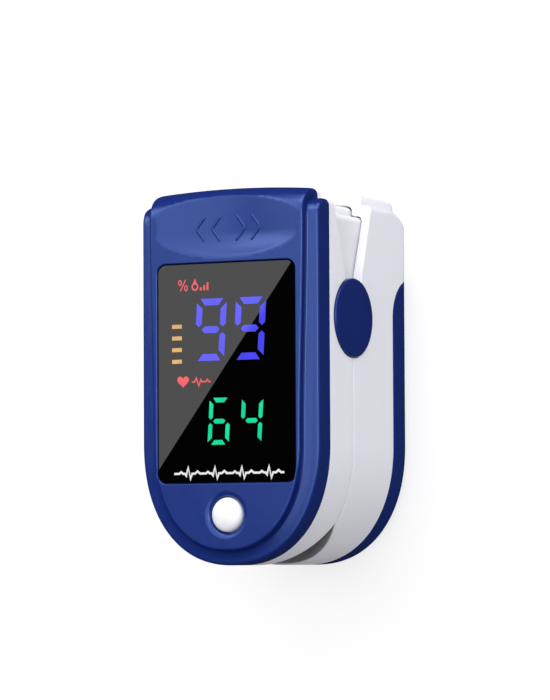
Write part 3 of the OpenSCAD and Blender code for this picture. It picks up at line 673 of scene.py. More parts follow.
# inner half of the wall, which runs on behind the cap to a small hole for the pin
top_in = np.where(IN_MOUTH, top, PART - SPLIT)
top_in = below_gap(np.where(by_pin, np.minimum(top_in, PART - pin_hole), top_in))
top = np.minimum(top, PART - SPLIT)
foot = np.where(PY < 16.06, door_top(PY) + 0.12, 0.0)
dip = np.where(IN_MOUTH, np.clip((PART - top) / 3.0, 0, 1), 0)
edge = 0.2 + 0.02 * smoothstep(dip)
small = np.where(foot > 0, CHAMFER, 0.0)
rows = [skin(foot, small), skin(foot + small * 0.3, small * 0.3)]
rows += [skin(foot + small + (top - edge - foot - small) * t, 0) for t in np.linspace(0, 1, 30) ** 2]
rows += [skin(top - edge * (1 - math.sin(a)), edge * (1 - math.cos(a))) for a in ARC[1:]]
rows += [skin(top, STEP), skin(top_in, STEP + 0.002), skin(top_in, WALL - CHAMFER), skin(top_in - CHAMFER, WALL)]
floor_z = np.where(foot > 0, foot, WALL)
rows += [skin(top_in - CHAMFER + (floor_z - top_in + CHAMFER) * t, WALL) for t in (0.25, 0.5, 0.75, 0.9, 1)]
V, F, last = ringed(rows)
floor_cols = [i for i in range(N) if foot[i] == 0]
first, final = floor_cols[0], floor_cols[-1]
for i in range(N):
    j = (i + 1) % N
    if foot[i] > 0 or foot[j] > 0:
        F.append((last + i, last + j, j, i))
F.append(tuple(floor_cols))
F.append(tuple(last + i for i in reversed(floor_cols)))
F.append((first, final, last + final, last + first))
make("lower_case", V, F, WHITE, "lower_jaw", "white_abs", ["lower_shell"], even=True)


def bar(lo, hi, r):
    """A block with rounded edges, for ribs and tongues."""
    (x0, y0, z0), (x1, y1, z1) = lo, hi
    w, l = x1 - x0, y1 - y0
    ring = rrect(w, l, min(r * 2, w / 2.1, l / 2.1), (x0 + x1) / 2, (y0 + y1) / 2, 4, 2)
    c = ring.mean(axis=0)
    n = len(ring)
    stack = [(r, z0), (r * 0.3, z0 + r * 0.3), (0, z0 + r), (0, z1 - r), (r * 0.3, z1 - r * 0.3), (r, z1)]
    v = np.concatenate([np.column_stack([c + (ring - c) * [1 - 2 * e / w, 1 - 2 * e / l], np.full(n, z)]) for e, z in stack])
    return v, grid_faces(len(stack), n) + end_caps(len(stack), n)


def swept(cols, section):
    """A moulding along the shell: section(i) gives its (inset, height) points at column i."""
    sect = [[skin(z, e)[i] for e, z in section(i)] for i in cols]
    n = len(sect[0])
    return np.array(sect).reshape(-1, 3), grid_faces(len(sect), n) + end_caps(len(sect), n, True)


def rail_section(i):
    side = abs(PX[i]) > 11 and PY[i] > -17
    e0, e1, z1 = 1.05, 3.0 if side else 1.9, 6.9
    z0 = 2.75 if abs(PX[i]) < 2.1 else 1.7  # higher over the door's tongue
    groove = 1.65 if side and PY[i] < 8.3 else e0
    return [(e0, z0), (e1 - 0.15, z0), (e1, z0 + 0.15), (e1, z1 - 0.15), (e1 - 0.15, z1), (e0, z1),
            (e0, 5.5), (groove, 5.5), (groove, 4.4), (e0, 4.4)]


def lip_section(i):
    z = mouth_rim[i]
    fade = float(smoothstep((PART - LIP_END - z) / 0.8))
    crown = [(0.23, 0.01), (0.32, 0.05), (0.6, 0.08), (1.3, 0.06)]
    pts = [(0.2, z - 0.4), (0.2, z - 0.08), *((e, z + h * fade) for e, h in crown)]
    # its inner edge sinks gently and runs on to the lining
    pts += [(e, z + 0.03 - 0.1 * (e - 1.3)) for e in (1.9, 2.5, 3.1, 3.7, 4.1)]
    return pts + [(4.1, z - 0.6), (1.9, z - 0.4)]


# the rails and the lip that the battery door slides on
make("door_rails", *swept([i for i in FRONT_ROUND if PY[i] < 13.9], rail_section), WHITE, "lower_jaw", "white_abs")

# soft grey silicone lip along the lower rim of the mouth; its grey is partly painted shade, standing in for the shadow
# in the mouth
LIP_END = 0.25
mouth_rim = lower_rim()
cols = [i for i in FRONT_ROUND if IN_MOUTH[i] and mouth_rim[i] < PART - LIP_END]
make("mouth_lip", *swept(cols, lip_section), PAD, "lower_jaw", "soft_pad")


def wall(z, e):
    """Points on the upright walls at heights z, set in by e."""
    z = np.broadcast_to(np.asarray(z, float), (N,))
    e = np.broadcast_to(np.asarray(e, float), (N,))
    return np.column_stack([OUTER[-1] + (INNER[-1] - OUTER[-1]) * (e / WALL)[:, None], z])


# upper shell
foot = np.maximum(upper_rim(), PART + SPLIT)
foot_in = np.where(IN_MOUTH, foot, PART + SPLIT)
foot_in = above_gap(np.where(by_pin, np.maximum(foot_in, PART + pin_hole), foot_in))
edge, top_edge = 0.2, 0.15
rows = [wall(foot + edge * (1 - math.sin(a)), edge * (1 - math.cos(a))) for a in ARC[::-1]]
rows += [wall(foot + edge + (SEAM - top_edge - foot - edge) * t, 0) for t in np.linspace(0, 1, 12)[1:]]
rows += [wall(SEAM - top_edge * 0.3, top_edge * 0.3), wall(SEAM, top_edge), wall(SEAM, WALL - 0.1), wall(SEAM - 0.1, WALL)]
rows += [wall(SEAM - 0.1 + (foot_in + CHAMFER - SEAM + 0.1) * t, WALL) for t in (0.3, 0.6, 1)]
rows += [wall(foot_in, WALL - CHAMFER), wall(foot_in, STEP + 0.002), wall(foot, STEP)]
V, F, last = ringed(rows)
F += [(last + i, last + (i + 1) % N, (i + 1) % N, i) for i in range(N)]
make("upper_case", V, F, WHITE, "upper_jaw", "white_abs", ["upper_shell"], even=True)

def grid_points(x0, x1, dx, y0, y1, dy):
    gx, gy = np.meshgrid(np.arange(x0, x1, dx), np.arange(y0, y1, dy))
    return np.column_stack([gx.ravel(), gy.ravel()])


def sew(V, F, filled, known, height):
    """Adds a filled outline: known gives the vertices it shares with V, and height(x, y) lifts the others."""
    points, tris, _ = filled
    index = dict(known)
    for i, p in enumerate(points):
        if i not in index:
            index[i] = len(V)
            V.append((p[0], p[1], float(height(p[0], p[1]))))
    F += [tuple(index[i] for i in t) for t in tris]
    return index


def grip(x, y):
    """The grip in the door's underside: a recess with ribs across it."""
    u = (np.abs(x) / 7.0) ** 2.6 + (np.abs(y + 6) / 6.2) ** 2.6
    bowl = 0.5 * smoothstep((1 - u) / 0.35)
    rib = 0.5 + 0.5 * np.cos((y + 6) * 2 * np.pi / 1.9)
    return bowl * (1 - 0.75 * smoothstep((rib - 0.35) / 0.5))


# battery door: a shallow tray, open at its straight end
cols = [i for i in FRONT_ROUND if PY[i] < 15.97]
rim = door_top(PY)
n = len(cols)
floor_z = np.minimum(1.4, rim - 0.15)
cove = 0.3 * np.clip(rim - 1.7, 0, 1)
r, side_t = 0.15, 1.0
rows = [skin(0, 0)]
rows += [skin(np.maximum(rim - r, 0.01) * t, 0) for t in np.linspace(0, 1, 22)[1:] ** 2]
rows += [skin(rim - np.minimum(r, rim * 0.3) * (1 - math.sin(a)), r * (1 - math.cos(a))) for a in ARC[2::2]]
rows += [skin(rim, side_t - 0.1), skin(np.maximum(rim - 0.1, floor_z + 0.05), side_t),
         skin(floor_z + cove, side_t), skin(floor_z, side_t + cove)]
rows = [row[cols] for row in rows]
V = list(np.concatenate(rows))
k = len(rows)
F = grid_faces(k, n, closed=False)
# across the straight end
F.append(tuple([q * n for q in range(k)] + [q * n + n - 1 for q in range(k - 1, -1, -1)]))
# inside floor in strips from side to side
base = (k - 1) * n
for q in range(n // 2):
    a, b, c, d = base + q, base + q + 1, base + n - 2 - q, base + n - 1 - q
    F.append((a, b, c, d) if b != c else (a, b, d))
under = fill(rows[0][:, :2], (), grid_points(-7.2, 7.21, 0.45, -12.4, 0.41, 0.16))
sew(V, F, under, {under[2][i]: i for i in range(n)}, grip)
parts = [(V, F)]
# the ridges that run in the rails' grooves, and the tongue with its root
parts += [bar((x, -8, 4.5), (x + 0.55, 8, 5.4), 0.15) for x in (-14.7, 14.15)]
parts += [bar((-1.6, 13, 1.45), (1.6, 15.4, 2.3), 0.12), bar((-1.6, 13, 1.75), (1.6, 20.5, 2.35), 0.2)]
make("battery_door_cover", *join(parts), BLUE, "door", "blue_abs", ["battery_door"])


# ---------------------------------------------------------------- top cover
def rail_width(y):
    return 12.9 + 0.67 * smoothstep((y + 10) / 34)


def plateau(s):
    """Outline of the raised middle, set in by s, with the same columns as the body's plan."""
    base = half_plan(0.03 + s, 0.03 + s, 0.03 + s)[176:]
    nose = nose_line(12.9, 16.75, s)
    late = np.linspace(FLANK[-1], 25.0, 18)[1:]
    ys = np.concatenate([FLANK, late, np.linspace(25.0, base[0, 1], 17)[1:]])
    side = np.stack([rail_width(ys) - s, ys], 1)
    return mirrored(np.concatenate([nose, side, base]))


def flange_z(y):
    """Height of the flange round the raised middle, with its roll at the squeezed end."""
    t = np.clip(y - 24.15, 0, 2.8)
    return 28.3 + np.sqrt(np.maximum(2.8 ** 2 - t * t, 0))


def fade_out(k):
    """A weight for each column: 1 along the sides, falling to 0 from column k towards the end."""
    half = np.ones(N // 2 + 1)
    half[k:k + 8] = np.cos(np.radians(np.linspace(10, 90, 8)))
    half[k + 8:] = 0
    return np.concatenate([half, half[1:-1][::-1]])


def at_height(p, z):
    return np.column_stack([p, np.broadcast_to(z, (N,))])


P0 = plateau(0)
GAP = np.hypot(*(OUTER[-1] - P0).T)
ROUND = np.minimum(0.45, 0.4 * GAP)
COVE = np.minimum(0.5, 0.4 * GAP)
OUT = (OUTER[-1] - P0) / np.maximum(GAP, 1e-6)[:, None]
W_SIDE, W_TOP = fade_out(160), fade_out(179)
FIFTHS = (0.2, 0.4, 0.6, 0.8, 1)
EDGE_R = 0.35  # of the raised middle's upper edge
RISE = 0.12

rows = [wall(SEAM + 0.03, 0.12), wall(SEAM + 0.07, 0.04), wall(SEAM + 0.15, 0)]
lift = np.maximum(flange_z(OUTER[-1][:, 1]) - 0.45 * W_SIDE, 28.2)
rows += [wall(SEAM + 0.15 + (lift - SEAM - 0.15) * t, 0) for t in FIFTHS]
for a in ARC[1:]:
    p = wall(0, ROUND * (1 - math.cos(a)))
    p[:, 2] = np.maximum(flange_z(p[:, 1]) - 0.45 * W_SIDE * (1 - math.sin(a)), 28.21)
    rows.append(p)
rim = rows[-1][:, :2]
foot = P0 + OUT * COVE[:, None]
for t in FIFTHS:
    p = rim + (foot - rim) * t
    rows.append(at_height(p, flange_z(p[:, 1]) + RISE * W_SIDE * t * t))
crown = top_z(P0[:, 0], P0[:, 1], False) - EDGE_R * W_TOP
for a in ARC[1:]:
    p = P0 + OUT * (COVE * (1 - math.sin(a)))[:, None]
    z = flange_z(p[:, 1]) + RISE * W_SIDE + COVE * (1 - math.cos(a))
    rows.append(at_height(p, np.minimum(z, crown - 0.001)))
z = rows[-1][:, 2]
rows += [at_height(P0, z + (crown - z) * t) for t in (0.5, 1)]
for a in ARC[1:]:
    p = plateau(EDGE_R * (1 - math.cos(a)))
    rows.append(at_height(p, top_z(p[:, 0], p[:, 1]) - EDGE_R * W_TOP * (1 - math.sin(a))))
V, F, base = ringed(rows)
V = list(V)

# top face with the window's and the button's holes and the thumb dish
loop = rows[-1][:, :2]
win = rrect(WIN_W + 0.46, WIN_L + 0.46, 1.63, 0, WIN_Y)
btn = circle(3.78, 0, BTN_Y)
u = np.linspace(-0.97, 0.97, 60)
xs = DISH_X + DISH_HALF * u
D = DISH * (1 - u ** 2)
crest = np.column_stack([xs, end_line(xs) - (ROLL - np.sqrt(ROLL ** 2 - (ROLL - D) ** 2))])
brow = np.column_stack([xs, DISH_Y - DISH_L * (1 - u ** 2) ** 0.588])
fine = grid_points(-13.4, 13.41, 0.42, 17.6, 28.6, 0.42)
fine[:, 0] += np.where((fine[:, 1] * 10).astype(int) % 2, 0.1, 0)
free = np.concatenate([grid_points(-13.2, 13.21, 1.1, -26.4, 17.4, 1.1), fine])
ok = inside(free, loop) & ~inside(free, win) & ~inside(free, btn)
for line, gap in ((loop, 0.35), (win, 0.3), (btn, 0.4), (crest, 0.2), (brow, 0.2)):
    ok &= ~near(free, line, gap)
free = np.concatenate([free[ok], *(circle(r, 0, BTN_Y, 48) for r in (4.2, 4.7, 5.3))])
filled = fill(loop, [win, btn], free, [crest, brow])
order = filled[2]
index = sew(V, F, filled, {order[i]: base + i for i in range(N)}, top_z)


def sleeve(V, F, start, loops):
    """Rows of points that go down from a hole's edge; start are the edge's vertex numbers."""
    prev = start
    for pts, z in loops:
        cur = list(range(len(V), len(V) + len(pts)))
        V += [(p[0], p[1], z) for p in pts]
        F += [(prev[i], prev[(i + 1) % len(pts)], cur[(i + 1) % len(pts)], cur[i]) for i in range(len(pts))]
        prev = cur
    return prev


holes = [index[i] for i in order[N:]]
opening = rrect(OPEN_W, OPEN_L, OPEN_R, 0, WIN_Y)
frame_steps = [(rrect(WIN_W + g, WIN_L + g, r, 0, WIN_Y), z) for g, r, z in (
    (0.3, 1.55, 32.37), (0.2, 1.5, 32.31), (0.13, 1.46, 32.22), (0.1, 1.44, 32.1), (0.1, 1.44, LEDGE))]
ring_steps = [(circle(r, 0, BTN_Y), z) for r, z in (
    (3.64, 32.395), (3.44, 32.37), (3.25, 32.315), (3.08, 32.23), (2.95, 32.12), (2.87, 31.98), (BORE_R, 31.8), (BORE_R, CEILING))]
edges = sleeve(V, F, holes[:len(win)], frame_steps + [(opening, LEDGE), (opening, CEILING)])
edges += sleeve(V, F, holes[len(win):], ring_steps)

# underside: a flat seat on the shell, and the hollow under the ceiling
under = plateau(1.75)
seat_steps = [(wall(0, e)[:, :2], z) for e, z in ((1.52, SEAM + 0.03), (1.58, SEAM + 0.1), (WALL, SEAT))]
seat_steps += [(under + (OUTER[-1] - under) * 0.03, SEAT), (under, 28.12), (under, CEILING)]
edges = sleeve(V, F, list(range(N)), seat_steps) + edges
filled = fill(under, [opening, circle(BORE_R, 0, BTN_Y)])
sew(V, F, filled, dict(zip(filled[2], edges)), lambda x, y: CEILING)
make("top_cover_skin", V, F, BLUE, "upper_jaw", "blue_abs", ["top_cover"], sharp=38, even=True)

# grip mark in the thumb dish: raised chevrons, two to each side
parts = []
for s, x0 in ((-1, -3.2), (-1, -0.5), (1, 0.7), (1, 3.4)):
    t = np.linspace(0, 1, 25)
    soft = np.column_stack([x0 + s * (0.8 + 1.55 * (1 - np.abs(2 * t - 1))), 24.7 - 3.9 * t])
    for _ in range(4):
        soft[1:-1] = (soft[:-2] + 2 * soft[1:-1] + soft[2:]) / 4
    path = np.column_stack([soft, top_z(soft[:, 0], soft[:, 1]) - 0.1])
    path[[0, -1], 2] -= 0.12  # both tips sink in
    parts.append(tube(path, 0.26, 12))
make("grip_marks", *join(parts), BLUE, "upper_jaw", "blue_abs")

# ---------------------------------------------------------------- pivot caps and button
SIDES = (("right", 1), ("left", -1))
DISC = [(0, 0), (6.0, 0), (6.12, 0.1), (6.12, 0.82), (6.1, 0.92), (6.03, 1.0), (5.92, 1.06), (5.7, 1.11),
        (5.2, 1.145), (4.4, 1.18), (3.2, 1.21), (1.8, 1.23), (0.8, 1.238), (0, 1.24)]
for side, s in SIDES:
    lathe("pivot_cap_" + side + "_disc", DISC, (s * (HALF_W - 0.75), PIVOT_Y, PART), (s, 0, 0), BLUE,
          "lower_jaw", n=96, slot="blue_abs", replace=["pivot_cap_" + side])

DOME = [(0, 0), (3.25, 0), (3.35, 0.06), (3.38, 0.2), (3.35, 0.34), (3.25, 0.4), (2.72, 0.42), (2.7, 0.5),
        (2.7, 2.72), (2.67, 2.95), (2.6, 3.13), (2.48, 3.29), (2.3, 3.43), (2.0, 3.58), (1.6, 3.7),
        (1.2, 3.79), (0.8, 3.86), (0.4, 3.9), (0, 3.915)]
lathe("power_button_dome", DOME, (0, BTN_Y, 29.05), (0, 0, 1), BUTTON, "button", n=72,
      slot="white_abs", replace=["power_button"])


# ---------------------------------------------------------------- display
def segment_loops(node_name, gap):
    """The lit bars of a display node, as outlines seen from above, grown by gap."""
    bm = bmesh.new()
    bm.from_mesh(NODES[node_name].data)
    bmesh.ops.remove_doubles(bm, verts=bm.verts, dist=2e-7)
    todo, out = set(bm.verts), []
    while todo:
        stack, part = [todo.pop()], []
        while stack:
            v = stack.pop()
            part.append(v)
            for e in v.link_edges:
                w = e.other_vert(v)
                if w in todo:
                    todo.remove(w)
                    stack.append(w)
        p = np.array([(v.co.x / MM, v.co.y / MM) for v in part if v.co.z > 32.2 * MM])
        c = p.mean(axis=0)
        p = p[np.argsort(np.arctan2(p[:, 1] - c[1], p[:, 0] - c[0]))]
        out.append(p + gap * (p - c) / np.linalg.norm(p - c, axis=1)[:, None])
    bm.free()
    return out


def pane_ring(inset, r):
    return rrect(WIN_W - 2 * inset, WIN_L - 2 * inset, r, 0, WIN_Y)


LIT = ("spo2_digits", "pulse_digits", "signal_bars")
bars = [lp for name in LIT for lp in segment_loops(name, 0.02)]
bars.sort(key=lambda lp: (round(lp[:, 0].mean(), 3), round(lp[:, 1].mean(), 3)))
points, tris, order = fill(pane_ring(0.16, 1.26), bars)
PANE_FOOT = WIN_TOP - 0.8
V = [(x, y, z) for z in (WIN_TOP, PANE_FOOT) for x, y in points]
m = len(points)
F = two_sided(tris, m)
outer = pane_ring(0, 1.4)
n = len(outer)
low = [m + i for i in order[:n]]
for i, (x, y) in zip(low, outer):
    V[i] = (x, y, PANE_FOOT)
steps = [(pane_ring(e, r), WIN_TOP - h) for e, r, h in ((0.09, 1.32, 0.02), (0.03, 1.37, 0.07), (0, 1.4, 0.16))]
ring = sleeve(V, F, order[:n], steps)
F += [(ring[i], ring[(i + 1) % n], low[(i + 1) % n], low[i]) for i in range(n)]
F += loop_walls(bars, order, m, n)
make("display_pane", V, F, PANE, "upper_jaw", "window_black", ["display_window"], sharp=40, even=True)


def inlay(name, shapes, mat):
    """Thin printed shapes that stand a hair over the pane, glowing with the material given although print gives off no
    light (painted light): each is an outline or (outline, holes).
    """
    parts = []
    for item in shapes:
        outer, holes = item if isinstance(item, tuple) else (item, ())
        points, tris, order = fill(outer, holes)
        verts = [(x, y, z) for z in (WIN_TOP + 0.008, WIN_TOP - 0.1) for x, y in points]
        m = len(points)
        parts.append((verts, two_sided(tris, m) + loop_walls([outer, *holes], order, m)))
    make(name, *join(parts), mat, "upper_jaw")


def stroke(points, w):
    """Outline of a polyline of width w with mitred joints, anticlockwise."""
    p = np.asarray(points, float)
    d = np.diff(p, axis=0)
    d /= np.linalg.norm(d, axis=1)[:, None]
    nrm = np.column_stack([-d[:, 1], d[:, 0]])
    left, right = [], []
    for i in range(len(p)):
        if i == 0:
            m, k = nrm[0], 1
        elif i == len(p) - 1:
            m, k = nrm[-1], 1
        else:
            m = nrm[i - 1] + nrm[i]
            m /= np.linalg.norm(m)
            k = min(1 / max(np.dot(m, nrm[i]), 0.3), 2.2)
        left.append(p[i] + m * k * w / 2)
        right.append(p[i] - m * k * w / 2)
    return np.array(right + left[::-1])


# pulse wave in place of the printed line under the digits; the print glows white, which is painted light
BEAT = [(0, 0), (0.35, 0.25), (0.7, 0), (1.0, 0), (1.25, -0.3), (1.6, 0.95), (2.0, -0.78), (2.3, 0), (2.8, 0),
        (3.25, 0.34), (3.7, 0)]
WAVE_Y = -15.0
wave = [(4.75 * k - 8.3 + x, WAVE_Y + y) for k in range(4) for x, y in BEAT]
inlay("pulse_wave_print", [stroke([(-9.2, WAVE_Y), *wave, (10.2, WAVE_Y)], 0.34)], SELF_LIT_WHITE_PRINT)

# percent sign, drop and bars, and a heart with a short pulse, printed and glowing red as painted light
FOOT_Y = 13.25
red = [(ellipse(0.34, 0.47, x, y), (ellipse(0.15, 0.27, x, y),)) for x, y in ((-8.05, 14.55), (-7.0, 13.7))]
red.append(stroke([(-8.0, FOOT_Y), (-7.05, 15.0)], 0.2))
drop = np.concatenate([arc(-5.4, 13.85, 0.62, -235, 55, 25, 0), [(-5.4, 15.2)]])
red.append((drop, (circle(0.36, -5.4, 13.85, 28),)))
red += [rrect(0.34, h, 0.08, x, FOOT_Y + h / 2, 3, 2) for x, h in ((-4.35, 0.5), (-3.75, 0.85), (-3.15, 1.25))]
t = np.linspace(0, 2 * np.pi, 48, endpoint=False)[::-1]
lobes = 13 * np.cos(t) - 5 * np.cos(2 * t) - 2 * np.cos(3 * t) - np.cos(4 * t)
red.append(np.column_stack([1.05 * np.sin(t) ** 3 - 7.55, lobes * 0.93 / 14.5 - 0.72]))
TRACE = [(-6.0, 0), (-5.5, 0), (-5.2, 0.6), (-4.75, -0.65), (-4.4, 0.35), (-4.2, 0), (-3.5, 0), (-3.25, 0.35),
         (-3.0, 0), (-2.6, 0)]
red.append(stroke([(x, y - 0.85) for x, y in TRACE], 0.24))
inlay("red_icons_print", red, SELF_LIT_RED_PRINT)


# ---------------------------------------------------------------- pads
def pad(name, side, body, node_name):
    """Moulded silicone lining: a scooped trough with soft lips, a lens hole and shallow ribs."""
    ro, ri, hw, back_y, rim_z = 11.95, 10.8, 9.48, 3.36, 19.5
    front_x = np.linspace(-hw, hw, 49)
    curve = NOSE_Y - 16.2 * (1 - (np.abs(front_x) / 12.8) ** NOSE_P) ** (1 / NOSE_P)
    front = list(zip(front_x, np.maximum(-25.5, curve)))
    side_y = np.linspace(front[-1][1], back_y, 26)[1:]
    right = [(hw, y) for y in side_y]
    back = [(x, back_y) for x in np.linspace(hw, -hw, 40)[1:]]
    left = [(-hw, y) for y in side_y[-2::-1]]
    outer = np.array(front + right + back + left)
    hole = circle(2.22, 0, LENS_Y, 48)
    free = grid_points(-9.2, 9.21, 0.46, -25.3, 3.3, 0.5)
    ok = inside(free, outer) & ~inside(free, hole) & ~near(free, outer, 0.22) & ~near(free, hole, 0.3)
    points, tris, order = fill(outer, [hole], np.concatenate([free[ok], circle(2.6, 0, LENS_Y, 48)]))
    x, y = points[:, 0], points[:, 1]
    trough = lambda r, lift: PART + lift - np.sqrt(np.maximum(r ** 2 - x ** 2, 0.01))
    low, z = trough(ro, 6.8), trough(ri, 6.8)
    flare = trough(14.2 - 4.5 * (y + END_Y + 4) / 11, 5.8)
    z = np.where(y < -22.0, np.minimum(z, flare), z)
    # scooped end
    d = np.clip((y + 0.4) / 2.7, 0, 1)
    z = z + (rim_z - z) * (1 - np.sqrt(1 - d ** 2 * 0.999))
    # shallow ribs across, either side of the lens, that grip the finger
    rib = 0.11 * (0.5 + 0.5 * np.cos((y + 15.5) * 2 * np.pi / 1.5))
    z = z - rib * smoothstep((4.4 - np.abs(y + 15.2)) / 0.8) * smoothstep((6.4 - np.abs(x)) / 1.2)
    # soft ring round the lens
    z = z + 0.18 * np.exp(-((np.hypot(x, y - LENS_Y) - 2.9) / 0.35) ** 2)
    z = np.maximum(soft_min(rim_z, z, 0.35), low + 0.09)
    if side > 0:
        z, low = 2 * PART - z, 2 * PART - low
    m = len(points)
    verts = [*zip(x, y, z), *zip(x, y, low)]
    faces = two_sided(tris, m) + loop_walls((outer, hole), order, m)
    make(name, verts, faces, PAD, body, "soft_pad", [node_name], sharp=50)


pad("lower_pad_lining", -1, "lower_jaw", "lower_pad")
pad("upper_pad_lining", 1, "upper_jaw", "upper_pad")


# ---------------------------------------------------------------- springs, flex, cells
def coil_path(s):
    """A torsion spring: the lower arm, the turns and the upper arm, on side s."""
    low, up, steps = -23.0, 15.0, 144
    a0, a1 = low - 90, 90 + up - 360 * 4
    ray = lambda a: np.array([0, math.cos(math.radians(a)), math.sin(math.radians(a))])
    at = lambda a, x: np.array([s * x, PIVOT_Y, PART]) + 2.5 * ray(a)
    out = [at(a0, 8) + l * ray(low) for l in (10, 9, 8, 7, 6, 5, 4, 3, 2, 1, 0.5)]
    out += [at(a0 + (a1 - a0) * i / steps, 8 + 2.6 * i / steps) for i in range(steps + 1)]
    return np.array(out + [at(a1, 10.6) + l * ray(up) for l in (0.5, 1, 2, 3, 4, 5, 6, 7, 8, 8.8)])


for side, s in SIDES:
    ob = make("torsion_coil_" + side, *tube(coil_path(s), 0.34), STEEL, None, "spring_steel", ["torsion_spring_" + side])
    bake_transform(ob)

path = [(y, 13.5) for y in np.linspace(-0.9, 14.6, 22)]
path += [(14.6 + 1.3 * math.sin(a), 14.8 - 1.3 * math.cos(a)) for a in np.radians(np.linspace(9, 90, 10))]
path += [(15.9, z) for z in np.linspace(15.1, 26.8, 40)]
d = np.gradient(np.array(path), axis=0)
d /= np.linalg.norm(d, axis=1)[:, None]
STRIP = ((-2.5, -0.06), (-2.4, -0.09), (2.4, -0.09), (2.5, -0.06), (2.5, 0.06), (2.4, 0.09), (-2.4, 0.09), (-2.5, 0.06))
verts = [(x, y - dz * e, z + dy * e) for (y, z), (dy, dz) in zip(path, d) for x, e in STRIP]
faces = grid_faces(len(path), 8) + end_caps(len(path), 8)
ob = make("jaw_flex", verts, faces, FLEX, None, "flex", ["jaw_ribbon"])
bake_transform(ob)

CAN = [(0, 0), (1.6, 0), (1.85, 0.15), (1.9, 0.4), (1.9, 1.0), (2.3, 1.12), (3.6, 1.15), (3.9, 0.98), (4.7, 0.98),
       (5.05, 1.08), (5.2, 1.35), (5.22, 2.0), (5.22, 21), (5.22, 42.6), (5.17, 43.1), (5.02, 43.5), (4.75, 43.75),
       (4.3, 43.85), (4.1, 43.98), (3.2, 44.3), (2.0, 44.42), (0, 44.45)]
for side, x, y, d in (("left", -5.3, -20.2, 1), ("right", 5.3, 24.3, -1)):
    lathe("cell_" + side + "_can", CAN, (x, y, 6.95), (0, d, 0), CELL, "lower_jaw",
          slot="cell_jacket", replace=["cell_" + side])

# ---------------------------------------------------------------- carried-over nodes
KEPT = {
    FRAME_WHITE: "battery_tray lower_frame upper_frame", LENS: "lower_lens upper_lens", SENSOR: "photodiode",
    BOARD: "sensor_board main_board", CONTACT: "positive_plate negative_spring link_plate", STEEL: "hinge_pin",
    SCREW: "tray_screws cover_screws", TAPE: "window_tape", DIGIT_BLUE: "spo2_digits", DIGIT_GREEN: "pulse_digits",
    BAR_AMBER: "signal_bars", MODULE: "display_module", BLACK: "board_chips", SWITCH: "power_switch",
    RED: "switch_plunger", EMITTER: "emitter_led",
}
for mat, names in KEPT.items():
    for name in names.split():
        ob = NODES[name]
        if not ob.material_slots:
            ob.data.materials.append(mat)
        for s in ob.material_slots:
            s.material = mat
SOFT_EDGES = (("battery_tray", 0.15), ("lower_frame", 0.15), ("upper_frame", 0.15), ("positive_plate", 0.06),
              ("board_chips", 0.08), ("display_module", 0.2), ("photodiode", 0.1), ("power_switch", 0.1),
              ("emitter_led", 0.15))
for name, w in SOFT_EDGES:
    weld = NODES[name].modifiers.new("weld", "WELD")
    weld.merge_threshold = 1e-6
    bev = NODES[name].modifiers.new("soft_edges", "BEVEL")
    bev.width = w * MM
    bev.segments = 2
    bev.limit_method = "ANGLE"
    bev.angle_limit = math.radians(50)


# ---------------------------------------------------------------- floor, light, camera
def paper(name, profile, emit):
    """A studio surface turned about the vertical, in metres. It is only there from above and inside,
    so that the underside can be seen too."""
    me = bpy.data.meshes.new(name)
    v, f = turned(profile, 96, Vector((0, 0, 0)), Vector((1, 0, 0)), Vector((0, 1, 0)), Vector((0, 0, 1)))
    me.from_pydata(v, [], f)
    me.update()
    ob = bpy.data.objects.new(name, me)
    bpy.context.scene.collection.objects.link(ob)
    m, nt, b = new_mat(name + "_paper")
    wire(b, Base_Color=tones(nt, 6, 3, (0.245, 0.245, 0.255), (0.255, 0.255, 0.265)), Roughness=0.9,
         Specular_IOR_Level=0.1, Emission_Color=(1, 1, 1, 1), Emission_Strength=emit)
    out = next(n for n in nt.nodes if n.type == "OUTPUT_MATERIAL")
    see = node(nt, "ShaderNodeMixShader")
    nt.links.new(node(nt, "ShaderNodeNewGeometry").outputs["Backfacing"], see.inputs[0])
    nt.links.new(b.outputs[0], see.inputs[1])
    nt.links.new(node(nt, "ShaderNodeBsdfTransparent").outputs[0], see.inputs[2])
    nt.links.new(see.outputs[0], out.inputs["Surface"])
    me.materials.append(m)
    return ob


FLOOR_Z = -0.0002  # a hair under the feet, so its glow reaches the underside
floor = paper("studio_floor", [(0, FLOOR_Z), (0.3, FLOOR_Z), (0.9, FLOOR_Z)], 0.77)
bend = [(0.9 + 0.5 * math.sin(a), 0.5 - 0.5 * math.cos(a)) for a in np.radians(np.linspace(6, 84, 14))]
sweep = paper("studio_backdrop", [(0.9, 0), *bend, (1.4, 0.62), (1.42, 0.8)], 0.9)
for q in sweep.data.polygons:
    q.use_smooth = True
sweep.visible_diffuse = False
sweep.visible_glossy = False
floor.visible_glossy = False

world = bpy.data.worlds.new("studio")
bpy.context.scene.world = world
world.use_nodes = True
nt = world.node_tree
sky = nt.nodes["Background"]
sky.inputs[0].default_value = (1, 1, 1, 1)
# seen directly it is as pale as the paper; as a light it is nearly nothing
nt.links.new(spread(nt, node(nt, "ShaderNodeLightPath").outputs["Is Camera Ray"], 0.012, 0.9), sky.inputs[1])

